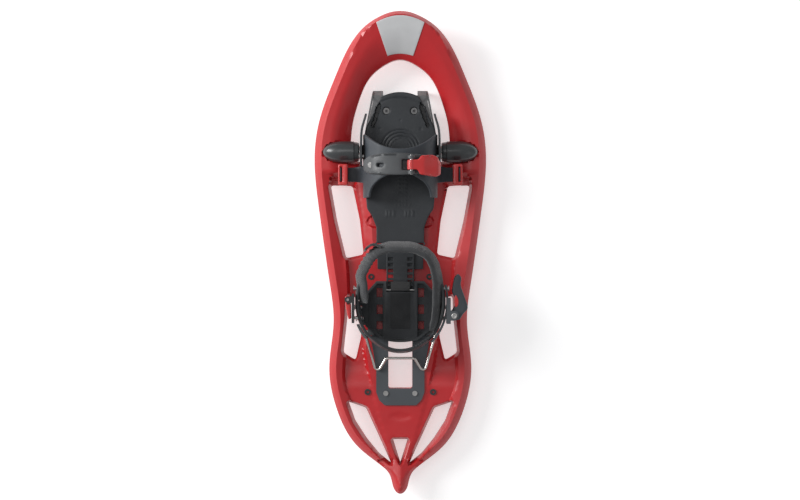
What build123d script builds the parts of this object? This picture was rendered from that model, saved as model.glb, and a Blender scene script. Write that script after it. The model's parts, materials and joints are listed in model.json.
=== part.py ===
from build123d import *
from math import atan2, cos, degrees, radians, sin, sqrt
import os

# One snowshoe: a moulded deck on spikes, and a boot binding that pivots on a cross axle.
# X is right, Y towards the nose, Z up. The spike tips stand on z = 0. Sizes are in millimetres.

# ---------------------------------------------------------------- driving dimensions
LENGTH = 610.0
DECK_BOTTOM = 13.0  # height of the deck's lower edge over the spike tips
RAIL_HEIGHT = 23.0
SPINE_HEIGHT = 18.0
PANEL_HEIGHT = 11.0
SKIN = 3.0
NOSE_LIFT = 30.0
TAIL_LIFT = 8.0
ROCKER_FRONT = 120.0  # the deck is flat between these two stations
ROCKER_REAR = -210.0

RUNNING_GAP = 0.05  # radial clearance of every pin in its bore
SEAT_GAP = 0.15  # clearance between neighbouring rigid parts

AXLE_Y = 128.6
AXLE_Z = 36.0
AXLE_R = 4.0
AXLE_HALF = 90.0
CAP_R = 13.6
CAP_INNER = 52.0
CAP_OUTER = 98.0
BUSH_R = 6.0
BUSH_LENGTH = 16.0

PLATE_BOTTOM = 41.0
PLATE_TOP = 45.5
HEEL_BOTTOM = 34.0
HEEL_FLOOR = 40.0
HEEL_TOP = 46.0
TONGUE_HALF = 17.5
TONGUE_BOTTOM = 37.0
TONGUE_TOP = 41.8

SPIKE_SITES = [(37.0, -29.6), (36.5, -80.4), (41.5, -176.0)]
SPIKE_R = 4.0
WEAR_SCREW_SITE = (18.4, -177.5)
WEAR_SCREW_R = 1.8

LUG_INNER = 38.0
LUG_OUTER = 48.0
WING_OUTER = 50.5
TONGUE_REAR = -74.0
NOTCHES = 8
NOTCH_PITCH = 7.3
CLAW_SCREW_SITE = (17.5, 180.0)
CLAW_SCREW_R = 2.5
STEEL = 2.0
RIVET_R = 2.0
ARCH_HALF = 44.0  # inside half width of the forefoot flap
ARCH_TOP = 92.0
FLAP = 3.0
FORK_Y = (98.0, 121.0)
TOE_PIN = (13.6, 102.5)
TOE_PIN_R = 2.0
FORK_ARM = 4.5  # width of each arm of the buckle's fork
WING_RIVET = (122.0, 60.0)
TOE_RIVET_SITE = (-37.0, 110.0)
LADDER_RIVET = (109.0, 76.0)

HOOP_Y = -60.0  # where the heel hoop is widest
HOOP_A = 57.0
HOOP_B = 65.5
HOOP_FRONT = 78.9
HOOP_WALL = 3.5
HOOP_EAR_Y = (-90.0, -60.0)
HEEL_WINDOW_Y = [(-55.2, -43.8), (-76.5, -64.8), (-97.0, -85.4)]
HOOP_RIVET_Y = (-82.0, -68.0)
HOOP_RIVET_Z = 54.0
STRAP = 7.0
STRAP_FRONT = 75.0
RISER_Y = -98.3
RISER_Z = 38.0
RISER_R = 1.75
TAB_Y = -46.0
TAB_Z = 44.0
TAB_PIN_R = 1.0
ANKLE_PIN = (66.8, -77.2)
ANKLE_PIN_R = 2.0
LOCK_PIN = (65.0, -57.0)
LOCK_PIN_R = 1.5
STRAP_RIVET = (-43.5, 83.5)
LOCK_RIVET = (-80.0, 84.0)

# Half outline of the deck, from the nose to the tail.
OUTLINE = [
    (0, 305), (12, 303.6), (25, 298.8), (41.6, 288.9), (82.4, 224.3), (105.1, 159.5), (108.9, 129.3),
    (103.7, 58.1), (89.7, -38.5), (84.9, -86.9), (90.4, -146.6), (81.7, -195.1), (55.8, -243.7),
    (24.0, -269.6), (14.2, -279.5), (10.2, -291.5),
]

RIGHT, LEFT = 1, -1
BOTH_SIDES = (RIGHT, LEFT)
SIDE_NAME = {RIGHT: "right", LEFT: "left"}


# ---------------------------------------------------------------- helpers
def closed(points, rounding=0.0):
    """A flat face through points, with its corners rounded."""
    face = make_face(Polyline(*points, close=True))
    if rounding:
        face = fillet(face.vertices(), rounding)
    return face


def sided(shape, side):
    """A shape drawn on the right, on the wanted side."""
    return shape if side == RIGHT else mirror(shape, about=Plane.YZ)


def both(shape):
    """A shape drawn on the right, with its mirror image."""
    return [shape, mirror(shape, about=Plane.YZ)]


def block(x, y, z):
    """A box between the given pairs of limits."""
    return Pos(x[0], y[0], z[0]) * Box(
        x[1] - x[0], y[1] - y[0], z[1] - z[0], align=(Align.MIN, Align.MIN, Align.MIN)
    )


def rod_x(radius, x, y, z):
    """A round bar along X between two stations."""
    bar = Cylinder(radius, x[1] - x[0], align=(Align.CENTER, Align.CENTER, Align.MIN))
    return Pos(x[0], y, z) * Rot(0, 90, 0) * bar


def rod_y(radius, x, y, z):
    """A round bar along Y between two stations."""
    bar = Cylinder(radius, y[1] - y[0], align=(Align.CENTER, Align.CENTER, Align.MIN))
    return Pos(x, y[0], z) * Rot(-90, 0, 0) * bar


def rod_z(radius, x, y, z):
    """A round bar along Z between two heights."""
    bar = Cylinder(radius, z[1] - z[0], align=(Align.CENTER, Align.CENTER, Align.MIN))
    return Pos(x, y, z[0]) * bar


def grown(face, amount):
    """A plan shape offset by an amount, with its curves turned into short straight lines."""
    points = []
    for edge in offset(face, amount=amount).faces()[0].outer_wire().order_edges():
        steps = 1 if edge.geom_type == GeomType.LINE else max(2, int(edge.length / 5))
        for step in range(steps):
            point = edge @ (step / steps)
            if not points or (point - points[-1]).length > 0.3:
                points.append(point)
    if (points[0] - points[-1]).length < 0.3:
        points.pop()
    return make_face(Polyline(*points, close=True))


def upright(face, x):
    """A face drawn in (Y, Z) and thickened along X between two stations."""
    return Pos(x[0], 0, 0) * extrude(Plane.YZ * face, x[1] - x[0])


def across(face, y):
    """A face drawn in (X, Z) and thickened along Y between two stations."""
    return Pos(0, y[0], 0) * extrude(Plane.XZ * face, -(y[1] - y[0]))


# ---------------------------------------------------------------- deck
def rocker_line(height):
    """The deck's side curve at a height above its lower edge, as a wire in (Y, Z)."""
    z = DECK_BOTTOM + height
    edges = [Line((ROCKER_REAR, z), (ROCKER_FRONT, z))]
    for station, lift, way in ((ROCKER_FRONT, NOSE_LIFT, 1), (ROCKER_REAR, TAIL_LIFT, -1)):
        run = LENGTH / 2 - abs(station)
        radius = (run**2 + lift**2) / (2 * lift)
        turn = degrees(atan2(run, radius - lift)) * 1.1
        edges.append(JernArc((station, z), (way, 0), radius, way * turn))
    return Wire(edges)


def slab(low, high):
    """The space between two heights above the deck's lower edge, wider than the deck."""
    bottom, top = rocker_line(low), rocker_line(high)
    ends = [
        Line(bottom @ 0, top @ 0),
        Line(bottom @ 1, top @ 1),
    ]
    face = make_face(bottom.edges() + top.edges() + ends)
    return Pos(-LENGTH / 4, 0, 0) * extrude(Plane.YZ * face, LENGTH / 2)


def raised(face):
    """A plan shape made into a tall block that stands on z = 0."""
    return extrude(face, LENGTH / 4, dir=(0, 0, 1))


def layer(face, low, high):
    """A plan shape cut out of the space between two heights above the deck's lower edge."""
    return raised(face) & slab(low, high)


def outline_face():
    half = Spline(*OUTLINE)
    tip = ThreePointArc(half @ 1, (0, -LENGTH / 2), (-OUTLINE[-1][0], OUTLINE[-1][1]))
    return make_face([half, tip, mirror(half, about=Plane.YZ)])


def toe_opening():
    """The window that the toe swings down through. Its rear half is hidden by the binding."""
    arch = [(0, 245.6), (22.0, 237.5), (37.6, 224.3), (53.4, 191.9), (61.2, 162.0), (63.0, 143.0)]
    half = Spline(*arch, tangents=[(1, 0), (0, -1)])
    square = Polyline((63.0, 143.0), (63.0, 117.0), (50.0, 117.0), (50.0, 103.0), (0, 103.0))
    edges = [half, *square.edges()]
    return make_face(edges + [mirror(edge, about=Plane.YZ) for edge in edges])


def front_window():
    return closed([(60.8, 86.0), (88.7, 86.8), (80.8, 42.4), (69.0, -6.1), (46.8, -1.2), (51.6, 42.4)], 3)


def rear_window():
    return closed(
        [(50.0, -58.0), (66.6, -54.0), (67.7, -83.7), (72.5, -126.6), (57.0, -136.0), (49.9, -105.5)], 3
    )


def tail_window():
    outer = Spline((65.9, -189.0), (57.4, -212.9), (42.8, -235.5), (27.1, -254.6), (11.5, -267.0))
    inner = Polyline((11.5, -267.0), (43.7, -196.6), (65.9, -189.0))
    return make_face([outer, *inner.edges()])


def tail_slit():
    return closed([(-9.3, -236.7), (9.3, -236.7), (0, -266.2)], 1)


def heel_window():
    return closed([(-15.2, -171.3), (15.2, -171.3), (15.2, -66.0), (-15.2, -66.0)], 3)


def openings():
    faces = [toe_opening(), tail_slit(), heel_window()]
    for window in (front_window(), rear_window(), tail_window()):
        faces += both(window)
    return faces


def rail_inner_face():
    """The plan area inside the outer rail, behind the horseshoe. It runs a little inside the windows."""
    side = [
        (83.5, 103.0), (77.5, 42.4), (66.5, -6.1), (63.5, -60.0), (64.0, -83.7), (69.0, -130.0),
        (69.0, -165.0), (61.0, -189.0), (52.0, -212.0), (37.0, -234.0), (21.0, -251.0), (6.0, -263.0),
    ]
    half = Spline(*side)
    rest = [Line(half @ 0, (0, 103.0)), Line(half @ 1, (0, -263.0))]
    return make_face([half, *rest] + [mirror(edge, about=Plane.YZ) for edge in [half, *rest]])


def spine_face():
    """The raised centre that carries the binding, down to the two tail beams."""
    side = [(64.0, 103.0), (62.5, 86.0), (54.0, 42.4), (49.0, -3.0), (52.0, -60.0), (52.5, -105.5),
            (59.0, -134.0), (46.5, -196.0), (11.0, -272.0)]
    return closed(side + [(-x, y) for x, y in reversed(side)])


def nose_badge_face():
    top = ThreePointArc((-30.3, 290.0), (0, 298.6), (30.3, 290.0))
    foot = ThreePointArc((-16.2, 249.6), (0, 252.4), (16.2, 249.6))
    return make_face([top, foot, Line(top @ 0, foot @ 0), Line(top @ 1, foot @ 1)])


def wear_plate_face():
    side = [(36.5, -96.0), (35.9, -116.0), (30.6, -148.0), (30.6, -176.0), (27.0, -186.0), (20.0, -192.7)]
    plate = closed(side + [(-x, y) for x, y in reversed(side)], 2.5)
    return plate - heel_window() - closed([(-15.2, -120), (15.2, -120), (15.2, -90), (-15.2, -90)])


def cap_body(grow=0.0):
    """A bullet-shaped housing lying along X on the right, optionally grown by a clearance."""
    radius = CAP_R + grow
    nose = CAP_OUTER + grow
    shoulder = CAP_OUTER - 24.0
    turns = [radians(90 * step / 6) for step in range(7)]
    curve = Spline(
        *[(shoulder + (nose - shoulder) * cos(turn), radius * sin(turn)) for turn in turns],
        tangents=[(0, 1), (-1, 0)],
    )
    sides = Polyline((shoulder, radius), (CAP_INNER - grow, radius), (CAP_INNER - grow, 0), (nose, 0))
    half = make_face([curve, *sides.edges()])
    return Pos(0, AXLE_Y, AXLE_Z) * revolve(half, Axis.X)


def deck():
    outline = outline_face()
    inner = rail_inner_face()
    spine = spine_face()
    windows = openings()
    rims = [grown(window, SKIN) for window in windows]
    solid = layer(outline - inner, 0, RAIL_HEIGHT)
    solid += layer(inner - spine, 0, PANEL_HEIGHT)
    solid += layer(spine, 0, SPINE_HEIGHT)
    for window in windows:
        solid -= raised(window)
    hollows = [
        (grown(outline, -SKIN) - grown(inner, SKIN), RAIL_HEIGHT),
        (grown(inner, -SKIN) - grown(spine, SKIN), PANEL_HEIGHT),
        (grown(spine, -SKIN), SPINE_HEIGHT),
    ]
    for hollow, height in hollows:
        for rim in rims:
            hollow -= rim
        solid -= layer(hollow, -SKIN, height - SKIN)
    spine_top = DECK_BOTTOM + SPINE_HEIGHT
    for x, y in SPIKE_SITES:
        for boss in both(rod_z(SPIKE_R + 3.5, x, y, (DECK_BOTTOM, spine_top - 0.5))):
            solid += boss
        for hole in both(rod_z(SPIKE_R + RUNNING_GAP, x, y, (0, spine_top + 1))):
            solid -= hole
    for hole in both(rod_z(WEAR_SCREW_R + RUNNING_GAP, *WEAR_SCREW_SITE, (0, spine_top + 1))):
        solid -= hole
    for saddle in both(block((63.0, 103.0), (111.0, 146.0), (DECK_BOTTOM, DECK_BOTTOM + RAIL_HEIGHT))):
        solid += saddle
    for seat in both(cap_body(SEAT_GAP)):
        solid -= seat
    return solid


def wear_plate():
    """The grey plate behind the heel, where the climbing wire's feet land."""
    top = RAIL_HEIGHT - 3.0
    plate = layer(wear_plate_face(), SPINE_HEIGHT, top)
    for hole in both(rod_z(WEAR_SCREW_R + RUNNING_GAP, *WEAR_SCREW_SITE, (0, 60))):
        plate -= hole
    return plate


def wear_plate_screws():
    floor = DECK_BOTTOM + SPINE_HEIGHT
    x, y = WEAR_SCREW_SITE
    shank = rod_z(WEAR_SCREW_R, x, y, (floor - 12, floor + 2.0))
    head = rod_z(WEAR_SCREW_R + 1.4, x, y, (floor + 2.05, floor + 3.4))
    socket = Pos(x, y, floor + 2.6) * extrude(RegularPolygon(1.6, 6), 2)
    return both(shank + head + rod_z(WEAR_SCREW_R, x, y, (floor + 2.0, floor + 2.1)) - socket)


def nose_badge():
    return layer(nose_badge_face(), RAIL_HEIGHT + 0.02, RAIL_HEIGHT + 0.8)


def spikes():
    """Six hardened points that stand under the deck."""
    found = []
    for x, y in SPIKE_SITES:
        shank = rod_z(SPIKE_R, x, y, (DECK_BOTTOM, DECK_BOTTOM + SPINE_HEIGHT - 3))
        point = Pos(x, y, DECK_BOTTOM / 2) * Cone(1.2, SPIKE_R, DECK_BOTTOM)
        found += both(shank + point)
    return found


def spike_plugs():
    """Black caps that close the six spike holes from above."""
    found = []
    top = DECK_BOTTOM + SPINE_HEIGHT
    for x, y in SPIKE_SITES:
        plug = rod_z(SPIKE_R, x, y, (top - 3 + 0.05, top + 0.6)) - rod_z(1.6, x, y, (top - 1, top + 1))
        found += both(plug)
    return found


def heel_rest_pads():
    """Rubber pads on the spine that the heel plate lands on."""
    top = DECK_BOTTOM + SPINE_HEIGHT
    return both(block((32.0, 40.0), (-74.0, -46.0), (top, HEEL_BOTTOM - 0.1)))


def axle_cap(side):
    bore = rod_x(BUSH_R + RUNNING_GAP, (CAP_INNER - 1, CAP_INNER + BUSH_LENGTH), AXLE_Y, AXLE_Z)
    deep = rod_x(AXLE_R + RUNNING_GAP, (CAP_INNER, AXLE_HALF + 0.5), AXLE_Y, AXLE_Z)
    return sided(cap_body() - bore - deep, side)


def axle_bush(side):
    tube = rod_x(BUSH_R, (CAP_INNER, CAP_INNER + BUSH_LENGTH - 0.2), AXLE_Y, AXLE_Z)
    return sided(tube - rod_x(AXLE_R + RUNNING_GAP, (0, AXLE_HALF), AXLE_Y, AXLE_Z), side)


def axle_washer(side):
    disc = rod_x(8.0, (WING_OUTER + 0.2, CAP_INNER - 0.2), AXLE_Y, AXLE_Z)
    return sided(disc - rod_x(AXLE_R + RUNNING_GAP, (0, AXLE_HALF), AXLE_Y, AXLE_Z), side)


def axle_rod():
    return rod_x(AXLE_R, (-AXLE_HALF, AXLE_HALF), AXLE_Y, AXLE_Z)


# ---------------------------------------------------------------- toe plate and its claws
def toe_plate_face():
    side = [(24.0, 198.0), (31.0, 188.0), (36.5, 172.0), (43.0, 160.0), (46.5, 142.0), (46.5, 104.0),
            (43.5, 73.0), (42.0, 56.0), (36.0, 48.0), (30.2, 33.0), (30.2, 10.0)]
    mirrored = [(-x, y) for x, y in side]
    nose = ThreePointArc(mirrored[0], (0, 204.0), side[0])
    edges = [nose, *Polyline(*side, *reversed(mirrored)).edges()]
    return make_face(edges)


def toe_plate():
    """The forefoot plate: a floor on two axle lugs, with the notched tongue behind it."""
    plate = extrude(Pos(0, 0, PLATE_BOTTOM) * toe_plate_face(), PLATE_TOP - PLATE_BOTTOM)
    tongue = block((-TONGUE_HALF, TONGUE_HALF), (TONGUE_REAR, 12.0), (TONGUE_BOTTOM, TONGUE_TOP))
    plate += tongue + block((-TONGUE_HALF, TONGUE_HALF), (8.0, 100.0), (TONGUE_BOTTOM, PLATE_BOTTOM))
    plate += block((-29.0, 29.0), (-20.0, 12.0), (TONGUE_BOTTOM, TONGUE_BOTTOM + 2.5))
    for notch in range(NOTCHES):
        y = -5.0 - notch * NOTCH_PITCH
        for slot in both(block((9.0, 15.5), (y - 4.0, y), (0, 60))):
            plate -= slot
    lug = rod_x(9.0, (LUG_INNER, LUG_OUTER), AXLE_Y, AXLE_Z)
    web = block((LUG_INNER, LUG_OUTER), (AXLE_Y - 9.0, AXLE_Y + 9.0), (AXLE_Z, PLATE_TOP - 1))
    for part in both(lug + web):
        plate += part
    plate -= rod_x(AXLE_R + RUNNING_GAP, (-60, 60), AXLE_Y, AXLE_Z)
    x, y = CLAW_SCREW_SITE
    for hole in both(rod_z(CLAW_SCREW_R + RUNNING_GAP, x, y, (0, 60))):
        plate -= hole
    for recess in both(rod_z(4.6, x, y, (PLATE_BOTTOM + 2.5, 60))):
        plate -= recess
    return plate


def claw():
    """The steel claw under the toe plate: a web, two toothed sides and two front tines."""
    top = PLATE_BOTTOM - SEAT_GAP
    side = [(33.0, 200.0), (42.0, 156.0), (42.0, 148.0)]
    web_face = closed(side + [(-x, y) for x, y in reversed(side)])
    web_face -= Pos(0, 166.0) * Rectangle(30.0, 14.0)
    steel = extrude(Pos(0, 0, top - STEEL) * web_face, STEEL)
    teeth = [(200.0, top), (205.0, 34.0), (205.0, 12.0), (202.0, 5.0), (196.0, 20.0), (186.0, 25.0),
             (178.0, 0.0), (170.0, 25.0), (161.0, 25.0), (154.0, 0.0), (148.0, 25.0), (148.0, top)]
    flare = degrees(atan2(8.0, 42.0))
    turned = Pos(34.0, 205.0, 0) * Rot(0, 0, flare) * Pos(-34.0, -205.0, 0)
    for toothed_side in both(turned * upright(closed(teeth), (33.0, 35.0))):
        steel += toothed_side
    tine = closed([(193.0, top), (196.5, top), (208.0, 12.0), (206.0, 0.0), (203.5, 12.0)])
    for front_tine in both(upright(tine, (22.0, 35.0))):
        steel += front_tine
    x, y = CLAW_SCREW_SITE
    for hole in both(rod_z(CLAW_SCREW_R + RUNNING_GAP, x, y, (30, 60))):
        steel -= hole
    return steel


def claw_screws():
    x, y = CLAW_SCREW_SITE
    shank = rod_z(CLAW_SCREW_R, x, y, (PLATE_BOTTOM - 8.0, PLATE_BOTTOM + 3.0))
    head = rod_z(4.0, x, y, (PLATE_BOTTOM + 2.55, PLATE_BOTTOM + 4.0))
    return both(shank + head - Pos(x, y, PLATE_BOTTOM + 3.2) * extrude(RegularPolygon(1.7, 6), 2))


def claw_nuts():
    x, y = CLAW_SCREW_SITE
    low = PLATE_BOTTOM - SEAT_GAP - STEEL - 4.0
    nut = Pos(x, y, low) * extrude(RegularPolygon(4.6, 6), 3.9)
    return both(nut - rod_z(CLAW_SCREW_R + RUNNING_GAP, x, y, (0, 60)))


# ---------------------------------------------------------------- toe cup, strap and ratchet
def arch_line(half, foot, top):
    """One arch over the forefoot in (X, Z)."""
    side = [(half, foot), (half - 1.5, foot + 20.0), (0.68 * half, top - 9.0), (0, top)]
    return Spline(*side, *[(-x, z) for x, z in reversed(side[:-1])])


def arch_band(half, foot, top, thickness, y):
    """A band of even thickness that follows the arch."""
    inner = arch_line(half, foot, top)
    outer = arch_line(half + thickness, foot, top + thickness)
    return across(make_face([inner, outer, Line(inner @ 0, outer @ 0), Line(inner @ 1, outer @ 1)]), y)


def forefoot_flap():
    """The flexible cover over the forefoot, with two tails that end in the keepers."""
    cover = arch_band(ARCH_HALF, PLATE_TOP + 0.05, ARCH_TOP, FLAP, (70.0, 130.0))
    cover -= extrude(Pos(0, 70.0, 0) * Ellipse(37.0, 29.5), 120)
    tail = [(43.5, 66.0), (55.0, 43.5), (75.0, 43.5), (75.0, 59.0), (73.0, 59.0), (73.0, 45.5),
            (57.0, 45.5), (43.5, 70.0)]
    for strap in both(across(closed(tail), (90.5, 108.5))):
        cover += strap
    for hole in both(rod_x(RIVET_R + RUNNING_GAP, (40, 60), *WING_RIVET)):
        cover -= hole
    cover -= rod_x(RIVET_R + RUNNING_GAP, (30, 60), *LADDER_RIVET)
    return cover - rod_z(RIVET_R + RUNNING_GAP, *TOE_RIVET_SITE, (50, 120))


def keeper(side):
    """The red clip that holds one tail of the flap."""
    clip = block((66.0, 81.0), (86.0, 112.0), (45.7, 60.0))
    clip = chamfer(clip.edges().group_by(Axis.Z)[-1], 1.2)
    return sided(clip - block((72.9, 75.1), (90.3, 108.7), (40, 70)), side)


def wing(side):
    """One side wall of the toe cup, hung on the axle beside the toe plate."""
    ends = [(0.2, -1), (0, -1)]
    inner, outer = [
        Spline((x - 6.0, 176.0), (x - 1.2, 158.0), (x, 140.0), (x, 110.0), tangents=ends)
        for x in (LUG_OUTER, WING_OUTER)
    ]
    plan = make_face([inner, outer, Line(inner @ 0, outer @ 0), Line(inner @ 1, outer @ 1)])
    profile = closed([
        (110.0, PLATE_TOP), (119.0, PLATE_TOP), (119.0, AXLE_Z), (138.2, AXLE_Z), (138.2, PLATE_TOP),
        (176.0, PLATE_TOP), (176.0, 54.0), (156.0, 62.0), (132.0, 72.0), (110.0, 72.0),
    ])
    profile += Pos(AXLE_Y, AXLE_Z) * Circle(9.0)
    wall = extrude(plan, 120) & upright(profile, (0, 60))
    wall -= rod_x(AXLE_R + RUNNING_GAP, (0, 60), AXLE_Y, AXLE_Z)
    return sided(wall - rod_x(RIVET_R + RUNNING_GAP, (40, 60), *WING_RIVET), side)


def wing_rivets():
    head = rod_x(RIVET_R + 1.5, (WING_OUTER + 0.3, WING_OUTER + 1.5), *WING_RIVET)
    return both(rod_x(RIVET_R, (42.5, WING_OUTER + 1.0), *WING_RIVET) + head)


def toe_buckle():
    """The curved grey arm of the toe ratchet that lies on the flap, with a fork for the red lever."""
    rise = FLAP + 0.02
    arm = arch_band(ARCH_HALF + rise, PLATE_TOP + 0.05, ARCH_TOP + rise, 4.0, FORK_Y)
    arm &= block((-60.0, 31.0), (60, 140), (78.0, 120.0))
    arm -= block((2.0, 60.0), (FORK_Y[0] + FORK_ARM, FORK_Y[1] - FORK_ARM), (60, 120))
    arm -= block((-28.0, -20.0), (107.0, 112.0), (60, 120))
    x, z = TOE_PIN
    ear = 4.5
    for y in ((FORK_Y[0], FORK_Y[0] + FORK_ARM), (FORK_Y[1] - FORK_ARM, FORK_Y[1])):
        arm += rod_y(ear, x, y, z) + block((x - ear, x + ear), y, (97, z))
    arm -= rod_y(TOE_PIN_R + RUNNING_GAP, x, (90, 130), z)
    arm -= rod_z(RIVET_R + 1.8, *TOE_RIVET_SITE, (86.3, 120))
    return arm - rod_z(RIVET_R + RUNNING_GAP, *TOE_RIVET_SITE, (50, 120))


def toe_buckle_rivet():
    x, y = TOE_RIVET_SITE
    return rod_z(RIVET_R, x, y, (74.0, 87.0)) + rod_z(RIVET_R + 1.6, x, y, (86.35, 88.2))


def toe_buckle_pin():
    return rod_y(TOE_PIN_R, TOE_PIN[0], (FORK_Y[0] - 0.5, FORK_Y[1] + 0.5), TOE_PIN[1])


def toe_lever():
    """The red ratchet lever between the buckle's fork arms."""
    profile = closed([(9.5, 105.5), (13.0, 107.5), (30.0, 105.0), (46.0, 97.0), (49.0, 92.0), (46.0, 90.0),
                      (33.0, 97.5), (18.0, 100.0), (9.5, 100.0)], 0.8)
    between_arms = (FORK_Y[0] + FORK_ARM + 0.5, FORK_Y[1] - FORK_ARM - 0.5)
    neck = across(profile, between_arms)
    blade = across(profile, (96.0, 120.0)) - block((0, 34.0), (90, 130), (60, 120))
    lever = neck + blade + rod_y(4.3, TOE_PIN[0], between_arms, TOE_PIN[1])
    return lever - rod_y(TOE_PIN_R + RUNNING_GAP, TOE_PIN[0], (90, 130), TOE_PIN[1])


def toe_ladder():
    """The toothed strap that the toe ratchet pulls on."""
    rise = FLAP + 0.02
    strap = arch_band(ARCH_HALF + rise, PLATE_TOP + 0.05, ARCH_TOP + rise, 1.6, (104.0, 114.0))
    strap &= block((3.0, 60.0), (60, 140), (71.5, 120.0))
    return strap - rod_x(RIVET_R + RUNNING_GAP, (30, 60), *LADDER_RIVET)


def toe_ladder_rivet():
    shank = rod_x(RIVET_R, (36.0, 44.6), *LADDER_RIVET)
    return shank + rod_x(RIVET_R + 1.2, (44.4, 45.6), *LADDER_RIVET)


# ---------------------------------------------------------------- heel plate and length adjustment
def heel_plate_face():
    side = [(30.2, -35.0), (43.9, -50.0), (43.9, -92.0), (22.0, -109.0)]
    mirrored = [(-x, y) for x, y in side]
    rear = ThreePointArc(side[-1], (0, -112.0), mirrored[-1])
    return make_face([*Polyline(*reversed(side), *mirrored).edges(), rear])


def heel_window_row():
    """The three windows on the right of the heel plate."""
    return [block((22.5, 30.0), limits, (0, 60)) for limits in HEEL_WINDOW_Y]


def heel_plate():
    """The heel plate: a framed floor, with a covered channel for the tongue and two riser lugs."""
    face = heel_plate_face()
    plate = extrude(Pos(0, 0, HEEL_BOTTOM) * face, HEEL_FLOOR - HEEL_BOTTOM)
    rim = extrude(Pos(0, 0, HEEL_BOTTOM) * (face - offset(face, amount=-3.0)), HEEL_TOP - HEEL_BOTTOM)
    plate += rim + block((-21.5, 21.5), (-108.5, -35.0), (HEEL_BOTTOM, HEEL_TOP))
    half = TONGUE_HALF + SEAT_GAP
    plate -= block((-half, half), (-105.0, -30.0), (TONGUE_BOTTOM - SEAT_GAP, TONGUE_TOP + SEAT_GAP))
    plate -= block((-half, half), (-48.5, -30.0), (TONGUE_BOTTOM - SEAT_GAP, 60))
    plate -= block((-12.5, 12.5), (-95.0, -50.0), (HEEL_TOP - 1.2, 60))
    for window in heel_window_row():
        for hole in both(window):
            plate -= hole
    lug = block((33.0, 41.2), (RISER_Y - 5.0, RISER_Y + 8.0), (HEEL_BOTTOM, HEEL_BOTTOM + 8.0))
    ear = block((41.0, 57.0), HOOP_EAR_Y, (HEEL_FLOOR, HEEL_TOP))
    ear &= extrude(egg(HOOP_A, HOOP_B, HOOP_B), 60)
    for part in both(lug + ear + hoop_upstand()):
        plate += part
    for hole in both(rod_x(RISER_R + RUNNING_GAP, (34.5, 60.0), RISER_Y, RISER_Z)):
        plate -= hole
    for y in HOOP_RIVET_Y:
        for hole in both(rod_x(RIVET_R + RUNNING_GAP, (40, 70), y, HOOP_RIVET_Z)):
            plate -= hole
    return plate - rod_x(TAB_PIN_R + RUNNING_GAP, (-20.6, 20.6), TAB_Y, TAB_Z)


def heel_pad():
    """The grippy inlay in the middle of the heel plate."""
    return block((-12.4, 12.4), (-94.9, -50.1), (HEEL_TOP - 1.2, HEEL_TOP + 0.5))


def egg(a, rear_b, front_b):
    """Two half ellipses that meet beside the ankle."""
    halves = []
    for b, way in ((rear_b, -1), (front_b, 1)):
        oval = Pos(0, HOOP_Y) * Ellipse(a, b)
        halves.append(oval & Pos(0, HOOP_Y + way * 200) * Rectangle(400, 400))
    return halves[0] + halves[1]


def ring_band(inner_a, rear_b, front_b, outer_a, z):
    """An upright ring about the heel. Its three outer radii and its inner one along X give its wall."""
    wall = outer_a - inner_a
    face = egg(outer_a, rear_b, front_b) - egg(inner_a, rear_b - wall, front_b - wall)
    return extrude(Pos(0, 0, z[0]) * face, z[1] - z[0])


def hoop_upstand():
    """The heel plate's wall inside the hoop, on the right, that the hoop is riveted to."""
    inner = HOOP_A - HOOP_WALL - SEAT_GAP
    shell = ring_band(inner - 3.0, HOOP_B - HOOP_WALL - SEAT_GAP, HOOP_B, inner, (HEEL_FLOOR, 60.0))
    return shell & block((20, 60), HOOP_EAR_Y, (HEEL_FLOOR, 60.0))


def side_profile(points):
    """A slice through the whole width, from an outline in (Y, Z)."""
    return upright(closed(points), (-120, 120))


def heel_hoop():
    """The flexible hoop round the heel, riveted to the heel plate's upstands."""
    ring = ring_band(HOOP_A - HOOP_WALL, HOOP_B, HOOP_FRONT, HOOP_A, (40, 120))
    ring &= side_profile([(-130, 56), (-92, 50), (-60, 47.5), (-38, 66), (-38, 94), (-80, 92), (-130, 84)])
    holes = [rod_x(RIVET_R + RUNNING_GAP, (40, 70), y, HOOP_RIVET_Z) for y in HOOP_RIVET_Y]
    for hole in holes + [strap_bore(), lock_rivet_bore()]:
        for bore in both(hole):
            ring -= bore
    return ring


def strap_bore():
    return rod_x(RIVET_R + RUNNING_GAP, (40, 70), *STRAP_RIVET)


def lock_rivet_bore():
    return rod_x(RIVET_R + RUNNING_GAP, (40, 70), *LOCK_RIVET)


def strap_rivets():
    """One rivet a side joins the padded strap to the hoop, and the ladder on the right."""
    head = RIVET_R + 1.5
    right = rod_x(RIVET_R, (45.0, 59.9), *STRAP_RIVET) + rod_x(head, (59.5, 60.7), *STRAP_RIVET)
    left = rod_x(RIVET_R, (45.0, 57.3), *STRAP_RIVET) + rod_x(head, (56.9, 58.1), *STRAP_RIVET)
    return [right, mirror(left, about=Plane.YZ)]


def lock_rivet():
    shank = rod_x(RIVET_R, (48.0, 60.0), *LOCK_RIVET)
    return mirror(shank + rod_x(RIVET_R + 1.5, (59.15, 60.15), *LOCK_RIVET), about=Plane.YZ)


def strap_clip():
    """The grey clip at the left rear of the hoop."""
    band = ring_band(HOOP_A + 0.02, HOOP_B + 3.0, HOOP_B + 3.0, HOOP_A + 3.0, (64.0, 80.0))
    band &= block((35, 70), (-106.0, -88.5), (0, 100))
    return mirror(band, about=Plane.YZ)


def hoop_rivets():
    found = []
    for y in HOOP_RIVET_Y:
        reach = HOOP_A * sqrt(1 - ((y + RIVET_R + 1.5 - HOOP_Y) / HOOP_B) ** 2)
        shank = rod_x(RIVET_R, (reach - 8.6, reach + 0.8), y, HOOP_RIVET_Z)
        found += both(shank + rod_x(RIVET_R + 1.5, (reach + 0.1, reach + 1.3), y, HOOP_RIVET_Z))
    return found


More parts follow.
